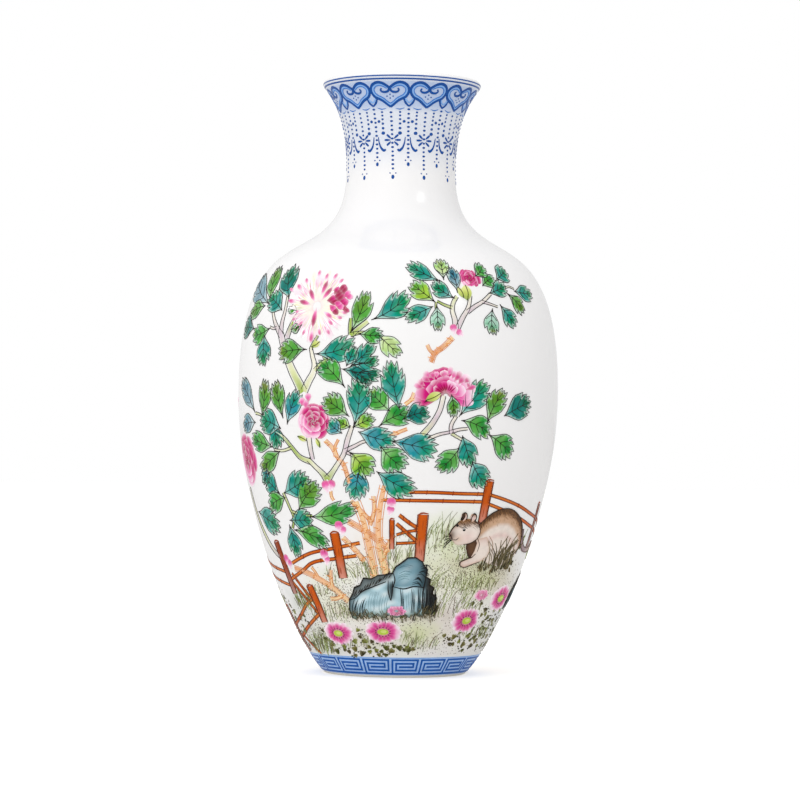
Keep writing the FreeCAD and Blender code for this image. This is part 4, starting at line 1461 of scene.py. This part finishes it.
# The line of its back: turns, and heights at them
BACK_LINE = ([33, 37, 40, 45, 50, 55, 60, 63], [50.6, 53, 54.8, 56.2, 56.2, 54.6, 51.6, 48])
EYE_BLACK = paint("171210")
FUR_DARK, FUR, FUR_TAN = paint("5A3D28"), paint("9A6F48"), paint("CFA98A")
FUR_CREAM, FUR_PINK, FUR_MAUVE = paint("F1E4DA"), paint("E8CEC6"), paint("9C8488")


def body_tone(turn, height, deep):
    """Dark along the back, tan below it, and cream on the belly."""
    down = np.interp(turn, *BACK_LINE) - height
    tone = ramp(down / 10.0, [FUR_DARK, FUR, FUR_TAN, FUR_TAN, FUR_CREAM, FUR_CREAM, FUR_PINK, FUR_CREAM])
    tone = blend(tone, FUR_MAUVE, 0.5 * ease(turn, 58, 64) * ease(deep, 0.0, 2.0))
    tone = blend(tone, FUR, 0.35 * (1 - ease(turn, 34, 39)))
    uneven = 1 + 0.04 * mottle(turn * 1.2, height * 1.4, 3.0)
    return blend(tone, FUR, 0.25 * np.exp(-deep / 0.5)) * uneven[:, None]


def head_tone(turn, height, deep):
    """Brown on the crown, dark round the muzzle, and pink on the cheek."""
    crown = 50.4 + 0.10 * (turn - 24)
    tone = blend(FUR_CREAM, FUR, ease(height, crown - 1.4, crown + 1.6))
    tone = blend(tone, FUR_PINK, 0.8 * np.exp(-((turn - 29.5) / 3.4) ** 2 - ((height - 47) / 1.8) ** 2))
    tone = blend(tone, FUR_DARK, 0.9 * np.exp(-((turn - 22.2) / 2.0) ** 2 - ((height - 47.6) / 1.9) ** 2))
    tone = blend(tone, FUR_TAN, 0.5 * np.exp(-((turn - 25.5) / 2.0) ** 2 - ((height - 46.4) / 1.2) ** 2))
    return blend(tone, FUR, 0.35 * np.exp(-deep / 0.4))


def leg_tone(turn, height, deep):
    """Cream, tan along its edge."""
    tone = ramp((height - 37) / 10, [FUR_PINK, FUR_CREAM, FUR_CREAM, FUR_PINK])
    return blend(tone, FUR_TAN, 0.6 * np.exp(-deep / 0.5))


def chest_tone(turn, height, deep):
    """Dark in the shadow under the head."""
    return blend(paint("4A3327"), FUR, 0.25 * ease(deep, 0, 1.6))


def face(fills, inks):
    """Ears, eyes, nose, mouth and whiskers."""
    for (t, h), lean in (((27.0, 53.3), 0.15), ((31.2, 53.0), -0.1)):
        tones = [FUR_TAN, FUR_PINK, FUR]
        petal(fills, (t - 0.4, h - 1.2), (t + lean, h + 1.7), 2.0, tones, 14, 1.3, 0.0, 0.5)
        ear = [(t - 1.2, h - 0.8), (t - 0.6, h + 1.2), (t + 0.3, h + 1.7), (t + 1.1, h + 0.9),
               (t + 0.9, h - 0.7)]
        inks.stroke(ear, [0.3, 0.4, 0.3], INK_BROWN, 16, step=0.5, body=0.03)
    petal(inks, (26.3, 52.4), (26.7, 55.0), 1.3, [INK_BROWN, FUR_DARK], 16, 1.2, 0.0, 0.5)
    inks.dab((27.6, 49.5), (1.0, 0.95), EYE_BLACK, 16)
    inks.dab((27.4, 49.75), (0.3, 0.3), WHITE, 18)
    inks.dab((24.4, 50.9), (0.9, 0.9), EYE_BLACK, 16)
    brow = [(26.4, 50.1), (27.7, 50.4), (29, 49.9)]
    inks.stroke(brow, [0.1, 0.25, 0.1], INK_BROWN, 17, step=0.4, body=0.02)
    inks.dab((22.0, 47.7), (0.6, 0.6), paint("2A1A16"), 16)
    for path, widths in (([(22.2, 47.6), (22.8, 46.6), (23.6, 46.3)], [0.22, 0.2, 0.1]),
                         ([(23.6, 46.3), (24.6, 46.2), (25.6, 46.9)], [0.12, 0.25, 0.1])):
        inks.stroke(path, widths, INK_BROWN, 17, step=0.4, body=0.02)
    for i in range(4):
        whisker = [(22.9, 47.0 - 0.25 * i), (21.2, 47.4 - 0.8 * i), (19.6, 47.2 - 1.2 * i)]
        inks.stroke(whisker, [0.09, 0.06, 0.03], INK_BROWN, 17, body=0.02, step=0.6)


def fur(inks):
    """Short hairs, dark along the back and over the head."""
    own = random.Random(23)
    for i in range(520):
        t = own.uniform(34, 63)
        down = abs(own.gauss(0, 1.5)) + 0.15
        h = float(np.interp(t, *BACK_LINE)) - down
        if h < 44:
            continue
        lean = (t - 48) / 15
        hair = [(t, h), (t + 0.25 + 0.3 * lean, h - 0.3), (t + 0.5 + 0.6 * lean, h - 0.6)]
        tone = FUR_DARK if down < 1.8 else FUR
        inks.stroke(hair, [0.2 - min(0.1, down * 0.03), 0.05], tone, 9, body=0.01, step=0.6)
    for i in range(80):
        t, h = own.uniform(23.6, 34), own.gauss(51.8, 0.7)
        if h > 52.9 or (t < 25 and h > 51.4):
            continue
        hair = [(t, h), (t + 0.7, h - 0.25), (t + 1.3, h - 0.7)]
        inks.stroke(hair, [0.11, 0.04], FUR_DARK, 15, body=0.01, step=0.6)


def animal(fills, inks):
    """A small long-tailed animal that looks to the left."""
    fills.flake(BODY, body_tone, 7, 0.7, 0.03)
    fills.flake(CHEST, chest_tone, 9, 0.6, 0.02)
    fills.flake(FORELEG, leg_tone, 10, 0.6, 0.03)
    fills.flake(HEAD, head_tone, 12, 0.5, 0.03)
    face(fills, inks)
    for path in (BODY[:10], HEAD[6:12], HEAD[0:4], FORELEG[4:11], CHEST[3:6]):
        inks.stroke(path, [0.15, 0.3, 0.2], paint("3A2A20"), 15, body=0.03)
    inks.stroke([(40.6, 47.4), (43.4, 45), (44.2, 42)], [0.1, 0.22, 0.1], FUR, 12, body=0.02)
    inks.stroke([(34.8, 46.6), (36.2, 44.6), (35.8, 42.2)], [0.15, 0.35, 0.15], FUR_DARK, 12, body=0.02)
    tail_dark = blend(FUR_DARK, FUR_MAUVE, 0.3)
    fills.stroke(TAIL, [1.6, 1.9, 1.7, 1.2], [FUR_MAUVE, FUR_MAUVE, FUR_TAN], 6, columns=5,
                 edge_tone=tail_dark)
    for gap in (-0.8, 0.8):
        inks.stroke(beside(TAIL, gap), [0.25, 0.3, 0.2], tail_dark, 8, body=0.02)
    fur(inks)


# ---------------------------------------------------------------- grass and small plants

GRASS_TONES = [paint("84924E"), paint("98A45E"), paint("74644A"), paint("A6B470"), paint("626C3C")]
DARK_GRASS = [paint("5E5638"), paint("746848"), paint("4A4630"), paint("8A7E5C")]
# Each tuft: turn, half width, height, how tall, how many, lean
TUFTS = [
    (17, 9, 47, 8, 26, 0.3), (52, 8, 37.5, 9, 90, 0.2), (48, 5, 37.5, 12, 10, -0.3),
    (17, 9, 10.5, 5.4, 34, 0.5), (1, 7, 40, 7, 30, 0.2), (-6, 8, 34.5, 8, 30, -0.4),
    (-14, 6, 32.5, 8, 20, -0.7), (15.5, 4, 29.5, 8, 22, 0.9), (3, 6, 39, 6, 22, 0.1),
    (26, 22, 22, 6, 60, 0.4), (38, 16, 30, 5, 50, 0.2), (-36, 14, 20, 4, 50, 0.4),
    (12, 12, 46, 5, 30, 0.4), (-30, 26, 11, 5, 60, 0.5), (52, 14, 14, 5, 40, 0.3),
    (-27, 6, 33.5, 3.6, 22, 0.2), (-52, 8, 23.5, 5.5, 60, -0.2), (-52, 12, 8, 7, 50, 0.8),
    (30, 4, 39.5, 3.4, 26, 0.3), (-38, 8, 28, 3, 20, 0.1), (63, 5, 44, 6, 14, 0.2),
    (-8, 22, 20.6, 2.4, 60, 0.1), (24, 10, 30.5, 3.4, 26, 0.3), (34, 14, 26, 4.4, 22, 0.6),
    (5, 8, 12.5, 3.2, 18, 0.3), (20, 12, 43, 4, 18, 0.5), (-22, 8, 22, 2.6, 26, 0.2),
    (112, 10, 35, 6, 40, 0.2), (145, 14, 30, 5, 46, 0.4), (176, 12, 34, 6, 40, 0.2),
    (-152, 14, 32, 6, 44, -0.2), (-118, 12, 28, 5, 40, 0.3), (-92, 10, 22, 6, 40, 0.2),
    (130, 20, 12, 5, 50, 0.5), (-170, 20, 12, 5, 50, -0.4), (-120, 20, 11, 5, 50, 0.4),
    (88, 8, 40, 5, 24, 0.3),
]
# Where the small dark plants stand: turn, height
SPOT_LEAVES = [
    (-45, 13), (-46, 15), (-42, 10.5), (-38, 8.3), (-34, 9.3), (-29, 8.5), (-24, 9.5), (-21, 13.5),
    (-20.5, 15.7), (-18, 11.8), (-15, 10.7), (-16, 9.3), (-20, 7.8), (-12.5, 9.3), (-11, 7.6), (-6.5, 10),
    (-5.5, 8.3), (-1.5, 10.7), (-2, 8.7), (5, 9.5), (3.5, 20.4), (-5, 21.3), (30, 14.3), (32.5, 12.8),
    (37, 13.5), (38, 11.5), (42, 12.5), (44, 11.3), (42.5, 24.8), (48, 25.3), (53.5, 23.3), (55.5, 21.5),
    (62, 19.7), (66, 19.5), (54.5, 18.3), (59, 16), (53, 14), (60, 14), (50, 13), (54, 10), (62, 10),
    (68, 17), (-31, 10.2), (-26.5, 7.8), (-9, 9.4), (1.6, 9.9), (34.5, 12), (47, 9.6), (57.5, 12),
    (64.5, 13), (50.5, 21), (58.5, 19.4), (55, 16), (63, 16.4), (70, 14), (67, 10.6), (72, 19), (74, 11),
    (71, 22.4), (61, 22.6), (76, 15), (-13, 12.6), (7, 11), (9.6, 9.2), (12, 10.2), (-8, 12.4),
    (-25.6, 12), (-33, 12.2), (40, 15.2), (46, 14.6),
]
OLIVE_LEAF = [paint("50541F"), paint("6C6630"), paint("4A4224"), paint("7A8038")]
# The dark tufts that stand before the animal and the rock
NEAR_TUFTS = [
    (52, 7, 38.2, 8, 44, 0.5), (47, 6, 37.4, 10, 9, -0.2), (55, 5, 38.4, 10.5, 12, 0.6),
    (50, 12, 36.2, 3.4, 34, 0.3), (-1, 21, 20.2, 2.6, 110, 0.1), (17, 5, 21.4, 4.0, 24, 0.2),
]


def grass(inks, tufts, tones, layer, spread):
    """Tufts of blades, tallest in the middle of each tuft."""
    own = random.Random(7)
    for turn, wide, level, tall, count, lean in tufts:
        for i in range(count):
            t = turn + own.uniform(-1, 1) * wide
            off = (t - turn) / wide
            h = level + own.gauss(0, 0.9) + 0.8 * off * off
            k = per_degree(h)
            up = tall * own.uniform(0.3, 1.0) * (1 - 0.45 * off * off)
            side = (lean + own.uniform(-spread, spread)) * up * 0.5 / k
            inks.stroke([(t, h), (t + side * 0.3, h + up * 0.55), (t + side, h + up)], [0.13, 0.1, 0.04],
                        own.choice(tones), layer, body=0.02, step=1.4)


def spot_leaf(fills, at, size, lean):
    """A small dark plant with three leaves."""
    k = per_degree(at[1])
    tone = brush.choice(OLIVE_LEAF)
    for side in (-0.7, 0.0, 0.7):
        a = lean + side
        reach = size * (1.0 if side == 0 else 0.75)
        petal(fills, at, (at[0] + math.cos(a) * reach / k, at[1] + math.sin(a) * reach * 0.8), size * 0.55,
              [tone * 0.55, tone, blend(tone, LEMON, 0.25)], 2, 1.0, 0.0, 0.6)


# ---------------------------------------------------------------- the painting

def turned_over(leaves, turn, rise):
    """A spray of leaves turned over, so that its right is its left, and moved round the vase."""
    return [(turn - a, b + rise, turn - c, d + rise, w, tint) for a, b, c, d, w, tint in leaves]


def turned_over_stems(stems, turn, rise):
    return [([(turn - t, h + rise) for t, h in path], *rest) for path, *rest in stems]


def on_side(stems, low, high, bottom, top):
    """The stems whose first point lies in a field."""
    return [s for s in stems if low <= s[0][0][0] <= high and bottom <= s[0][0][1] <= top]


# Round the back the same tree goes on, turned over: its upper spray, its middle spray and its low leaves
BACK_LEAVES = [
    *turned_over(UPPER_RIGHT, -108, -5), *turned_over(RIGHT_MIDDLE, -84, -5), *turned_over(LEFT, 92, 2),
    *turned_over(UPPER_CENTRE, 176, 2), *turned_over(CENTRE, 176, -1), (107.8, 84, 101, 91, 6.4, "T"),
    (108, 84.4, 113.4, 93, 6.0, "G"), (109.6, 79, 101, 80.6, 6.2, "D"),
]
BACK_STEMS = [
    *turned_over_stems(on_side(STEMS, 13, 46, 112, 131), -108, -5),
    *turned_over_stems(on_side(STEMS, 8, 25, 78, 87), -84, -5),
    *turned_over_stems(on_side(STEMS, -62, -26, 47, 88), 92, 2),
    *turned_over_stems(on_side(STEMS, -27, -17, 60, 76), 176, -1),
    *turned_over_stems(on_side(STEMS, -18, -13, 111, 114), 176, 2),
    ([(-158, 66), (-164, 78), (-170, 92), (-168, 110)], [2.4, 2.0, 1.4], "NCL"),
    ([(-157.4, 66), (-159, 58), (-161.6, 50), (-164, 41)], [2.4, 2.2, 2.6, 3.0], "NCV"),
    ([(-127.4, 111.6), (-126.5, 107.5), (-124, 98), (-118, 88), (-112, 80)], [1.6, 1.7, 1.9, 1.6], "LCV"),
    ([(-94.6, 73.6), (-108, 68), (-124, 58), (-142, 50), (-162, 45)], [1.8, 2.0, 2.4], "CVL"),
    ([(118.4, 67), (128, 60), (142, 52), (160, 44), (172, 40)], [2.2, 2.4, 3.0], "VCL"),
    ([(-167, 113.6), (-178, 112.6), (-190, 112.8)], [1.2, 0.9], "VC"),
    ([(-158, 66), (-156, 72), (-153, 78)], [1.3, 1.0], "VC"),
]
BACK_BRANCHES = turned_over_stems([parts for parts in BRANCHES if parts[0][0][0] < 0], 176, 0)

leaves, plant_ink = Enamel(), Enamel()
for group in (UPPER_LEFT, UPPER_CENTRE, UPPER_RIGHT, LEFT, CENTRE, MAPLE, RIGHT_MIDDLE, BACK_LEAVES):
    for i, (a, b, c, d, width, tint) in enumerate(group):
        leaf(leaves, plant_ink, (a, b), (c, d), 1.07 * width, tint, i % 3)
stems = Enamel()
for path, width, tones in STEMS + BACK_STEMS:
    twig(stems, plant_ink, path, width, tones)
branches = Enamel()
for path, width, tones, thorns in BRANCHES + BACK_BRANCHES:
    branch(branches, path, width, tones, thorns)
    for side in (-1, 1):
        plant_ink.stroke(beside(path, side * np.mean(width) * 0.5), INK * 0.7, RUST, 1, body=0.02)

flowers = Enamel()
GREAT = (-31.2, 121.0)   # the large flower's centre
great_peony(flowers, GREAT)
crimson_touches(flowers, GREAT)
rose_peony(flowers, (-30.6, 83.8), 6.6)
for at in ((-35.2, 90.2), (-32.6, 91.6), (-33.6, 89.4)):
    petal(flowers, (at[0] + 0.4, at[1] - 1.4), (at[0], at[1] + 1.3), 2.2, [MAGENTA, ROSE, BLUSH], 9, 1.4, 0.3)
fan_peony(flowers, (16.4, 92.6), 10.2)
rose_peony(flowers, (28.2, 130.8), 4.4, 0.66, 8, 0.0)
rose_peony(flowers, (-74, 71), 10.0, 0.92, 12)
CALYX = [paint("8FA83C"), paint("C9D66A"), paint("E8E8A0")]
for foot, tip, width in (((25.6, 123.4), (25.6, 128.4), 3.8), ((24.2, 124.2), (22.4, 127.6), 1.8),
                         ((9.4, 90.8), (14.6, 93.2), 2.8), ((-37.4, 79.0), (-33.6, 77.6), 1.6),
                         ((-28.2, 75.4), (-29.6, 78.4), 1.4), ((-31.6, 107.8), (-28.4, 109.4), 2.0)):
    petal(flowers, foot, tip, width, CALYX, 9, 1.1, 0.1, 0.6)
    middle = ((foot[0] + tip[0]) / 2 + 0.6, (foot[1] + tip[1]) / 2)
    plant_ink.stroke([foot, middle, tip], INK * 0.8, INK_BROWN, 13)
rose_peony(flowers, (-136, 125.8), 5.6, 0.8, 21)
fan_peony(flowers, (-100.4, 87.6), 9.4, 22)
rose_peony(flowers, (-152, 84), 7.4, 0.95, 23)
rose_peony(flowers, (122.6, 87.8), 6.4, 0.95, 24)
rose_peony(flowers, (164, 114), 7.4, 0.95, 25)
for at, size, lean in (((19.4, 114.0), 3.4, 0.2), ((21.6, 112.8), 3.0, 0.9), ((-27.0, 63.0), 4.2, 0.25),
                       ((-24.8, 63.4), 3.8, -0.3), ((-23.2, 50.0), 4.2, 0.1), ((-21.8, 48.8), 3.2, -0.4),
                       ((-31.8, 40.6), 4.2, 0.1), ((-31, 39.0), 3.2, -0.2), ((-56, 38.4), 4.2, 0.3),
                       ((-54.4, 37.2), 3.4, 0.0), ((-2, 57.8), 4.2, 0.1), ((-2.4, 55.6), 3.4, -0.3),
                       ((-157.0, 62.6), 4.2, 0.2), ((-159.6, 63.2), 3.6, -0.3), ((-127.4, 110.6), 3.6, 0.2)):
    sheath(flowers, at, size, lean)

fence_wood, fence_ink = Enamel(), Enamel()
for path, width in RAILS:
    rail(fence_wood, fence_ink, path, width)
for parts in POSTS:
    post(fence_wood, fence_ink, *parts)

rocks, rock_ink = Enamel(), Enamel()
rocks.flake(ROCK, rock_tone, 7, 0.6, 0.03)
rock_lines(rock_ink)


def further_round(turn, height, lift):
    """Where a point of the front rock falls on the smaller rock at the right."""
    return on_glaze(95.4 + 0.9 * np.asarray(turn, float), 6.5 + 0.8 * np.asarray(height, float), lift)


side_rock, side_rock_ink = Enamel(further_round), Enamel(further_round)
side_rock.flake(ROCK, rock_tone, 1, 0.6, 0.03)
rock_lines(side_rock_ink)

beast, beast_ink = Enamel(), Enamel()
animal(beast, beast_ink)

meadow, meadow_ink = Enamel(), Enamel()
for at, wide, tall in DAISIES:
    daisy(meadow, meadow_ink, at, wide, tall)
back_spots = [(wrapped(t + round_by), h) for round_by in (124, 236) for t, h in SPOT_LEAVES[:46]]
for i, at in enumerate(SPOT_LEAVES + back_spots):
    spot_leaf(meadow, at, 1.5 if i % 3 else 2.1, brush.uniform(0, math.tau))
    for _ in range(2):
        beside_it = around(at, brush.uniform(0, math.tau), brush.uniform(0.8, 1.7))
        meadow_ink.dab(beside_it, (brush.uniform(0.4, 0.8), 0.4), paint("40391F"), 4)
blades = Enamel()
grass(blades, TUFTS, GRASS_TONES, 2, 0.9)
grass(blades, NEAR_TUFTS, DARK_GRASS, 18, 1.5)

THIN = 0.12              # how thickly the rest of the ground is stippled
# Fine dots over the ground, thick in its hollows: turn, height, half width, half height, strength
THICK = [
    (32, 34, 15, 6, 1.0), (-28, 27, 13, 6, 1.0), (50, 36, 9, 4, 0.9), (-4, 20.5, 22, 3, 0.8),
    (24, 44, 10, 4, 0.5), (-50, 14, 12, 6, 0.5), (-16, 37, 10, 4, 0.5), (20, 12, 16, 4, 0.3),
    (110, 28, 20, 6, 0.7), (150, 22, 22, 6, 0.7), (-150, 24, 26, 7, 0.7), (-108, 26, 18, 6, 0.7),
]


def ground_patch():
    """The ground as a sheet just under the glaze, with how thickly it is stippled."""
    turns, levels = np.meshgrid(np.arange(-180, 180, 2.0), np.arange(8, 50, 1.5))
    wide = turns.shape[1]
    turn, level = turns.ravel(), levels.ravel()
    thick = THIN * (1 - ease(level, ground_top(turn) - 8, ground_top(turn)))
    for at, high, across, tall, strength in THICK:
        away = (wrapped(turn - at) / across) ** 2 + ((level - high) / tall) ** 2
        thick = np.maximum(thick, strength * np.exp(-away * 1.2))
    thick[inside_rim(turn, level, ROCK) | inside_rim(turn, level, BODY) | inside_rim(turn, level, HEAD)] = 0
    mesh = bpy.data.meshes.new("ground")
    rows = range(turns.shape[0] - 1)
    faces = [(r * wide + c, r * wide + (c + 1) % wide, (r + 1) * wide + (c + 1) % wide, (r + 1) * wide + c)
             for r in rows for c in range(wide)]
    mesh.from_pydata(on_glaze(turn, level, 0.01).tolist(), [], faces)
    mesh.attributes.new("Thickness", "FLOAT", "POINT").data.foreach_set("value", thick.astype(np.float32))
    return mesh


def inside_rim(turn, level, rim):
    """Which points lie inside a closed rim."""
    rim = np.array(rim, float)
    return depth_inside(np.c_[turn, level], rim, np.roll(rim, -1, 0))[1]


MOST_DOTS = 5.0e6        # on a square metre
DOT = 0.13 * MM
stipple = grow(STIPPLE, ground_patch(), dot_finish, {"Most dots": MOST_DOTS, "Dot size": DOT, "Seed": 4})
put_on_vase("ground_stipple", stipple, dot_finish)

leaves.piece("leaves", enamel_finish)
plant_ink.piece("leaf_and_stem_lines", ink_finish)
stems.piece("stems", enamel_finish)
branches.piece("dry_branches", enamel_finish)
flowers.piece("peonies", enamel_finish)
fence_wood.piece("fence", enamel_finish)
fence_ink.piece("fence_lines", ink_finish)
rocks.piece("rocks", enamel_finish)
rock_ink.piece("rock_lines", ink_finish)
side_rock.piece("side_rock", enamel_finish)
side_rock_ink.piece("side_rock_lines", ink_finish)
beast.piece("animal", enamel_finish)
beast_ink.piece("animal_lines", ink_finish)
meadow.piece("meadow_flowers", enamel_finish)
meadow_ink.piece("meadow_flower_dots", ink_finish)
blades.piece("grass", ink_finish)


# ---------------------------------------------------------------- the mark under the base

def under_base(across, along, lift):
    """A place on the underside of the base, seen from below, in metres."""
    across, along, lift = (np.asarray(a, float) for a in (across, along, lift))
    return np.stack([across, -along, CEILING / MM - lift], -1) * MM


def petal_tone(x, y, deep):
    """Deep blue at the middle of the mark, paler outwards."""
    return ramp(np.hypot(x, y) / 7.2, [COBALT, MID_BLUE, SKY_BLUE])


def base_mark():
    """A small five-petalled flower inside a double ring."""
    mark = Enamel(under_base, lambda level: 1.0)
    for radius, width in ((11.6, 0.7), (10.2, 0.35)):
        angles = [math.tau * i / 48 for i in range(48)]
        ring = [(radius * math.cos(a), radius * math.sin(a)) for a in angles]
        mark.stroke(ring, width, COBALT, 0, closed=True, body=0.03)
    for i in range(5):
        a = math.tau * (i + 0.25) / 5
        rim = []
        for j in range(24):
            b = math.tau * j / 24
            out, aside = 4.6 + 2.5 * math.cos(b), 1.75 * math.sin(b) * (1.1 + 0.25 * math.cos(b))
            rim.append((out * math.cos(a) - aside * math.sin(a), out * math.sin(a) + aside * math.cos(a)))
        mark.flake(rim, petal_tone, 0, 0.7, 0.02)
        mark.stroke(rim, 0.25, COBALT, 2, closed=True, body=0.02)
    mark.dab((0, 0), (3.2, 3.2), COBALT, 2)
    mark.piece("base_mark", cobalt_finish)


base_mark()


# ---------------------------------------------------------------- studio

def soft_light(name, where, aim, size, power, mirrored_in_glaze=False):
    """A square soft light; its size is in metres and its power in watts."""
    data = bpy.data.lights.new(name, "AREA")
    data.size = size
    data.energy = power
    lamp = new_object(name, data)
    lamp.visible_glossy = mirrored_in_glaze
    lamp.location = where
    lamp.rotation_euler = (Vector(aim) - Vector(where)).to_track_quat("-Z", "Y").to_euler()


soft_light("front softbox", (-0.6, -1.2, 0.7), (0, 0, 0.12), 1.0, 4.2)
soft_light("top softbox", (0.0, -0.2, 1.2), (0, 0, 0), 1.6, 3.0)
soft_light("small lamp", (1.05, -1.05, 1.2), (0, 0, 0.15), 0.42, 1.5, True)

world = bpy.data.worlds.new("White room")
bpy.context.scene.world = world
world.use_nodes = True
room = world.node_tree
LEFT_WALL, RIGHT_WALL = 0.92, 0.68     # how brightly the room shines on the vase; the camera sees it white
direction = node(room, "ShaderNodeTexCoord").outputs["Generated"]
aside = node(room, "ShaderNodeSeparateXYZ", Vector=direction).outputs["X"]
walls = node(room, "ShaderNodeMapRange", Value=aside, From_Min=-1.0, From_Max=1.0, To_Min=LEFT_WALL,
             To_Max=RIGHT_WALL).outputs[0]
seen = node(room, "ShaderNodeLightPath").outputs["Is Camera Ray"]
feed(room, room.nodes["Background"], Color=(1, 1, 1, 1), Strength=calc(room, "MAXIMUM", walls, seen))

FLOOR_LEVEL = -0.02 * MM      # a hair under the foot, so that the two never share a plane
FLOOR = [(-6, -3), (6, -3), (6, 9), (-6, 9)]
floor_mesh = bpy.data.meshes.new("floor")
floor_mesh.from_pydata([(x, y, FLOOR_LEVEL) for x, y in FLOOR], [], [(0, 1, 2, 3)])
floor = new_object("floor", floor_mesh)
paper = bpy.data.materials.new("White paper")
paper.use_nodes = True
sheet = paper.node_tree
seen = node(sheet, "ShaderNodeLightPath").outputs["Is Camera Ray"]
glow = calc(sheet, "ADD", calc(sheet, "MULTIPLY", seen, 0.4), 0.1)
feed(sheet, sheet.nodes["Principled BSDF"], Base_Color=(0.72, 0.715, 0.71, 1), Roughness=0.9,
     Specular_IOR_Level=0.1, Emission_Color=(1, 0.98, 0.95, 1), Emission_Strength=glow)
floor_mesh.materials.append(paper)

bpy.context.scene.view_settings.view_transform = "Standard"

CAMERA_DISTANCE = 0.937      # from the vase's axis
CAMERA_HEIGHT = 0.0691
CAMERA_PITCH = 0.0235        # looking slightly up
CAMERA_LEAN = 0.0127         # the camera leans, so that the vase leans to the right
CAMERA_TURN = 0.001          # and looks a little past the axis
CAMERA_LENS = 123.6          # millimetres, on a sensor 36 wide
camera_data = bpy.data.cameras.new("camera")
camera_data.lens = CAMERA_LENS
camera_data.sensor_width = 36.0
camera_data.clip_start = 0.05
camera = new_object("camera", camera_data)
camera.location = (0, -CAMERA_DISTANCE, CAMERA_HEIGHT)
camera.rotation_euler = (math.pi / 2 + CAMERA_PITCH, -CAMERA_LEAN, -CAMERA_TURN)
bpy.context.scene.camera = camera
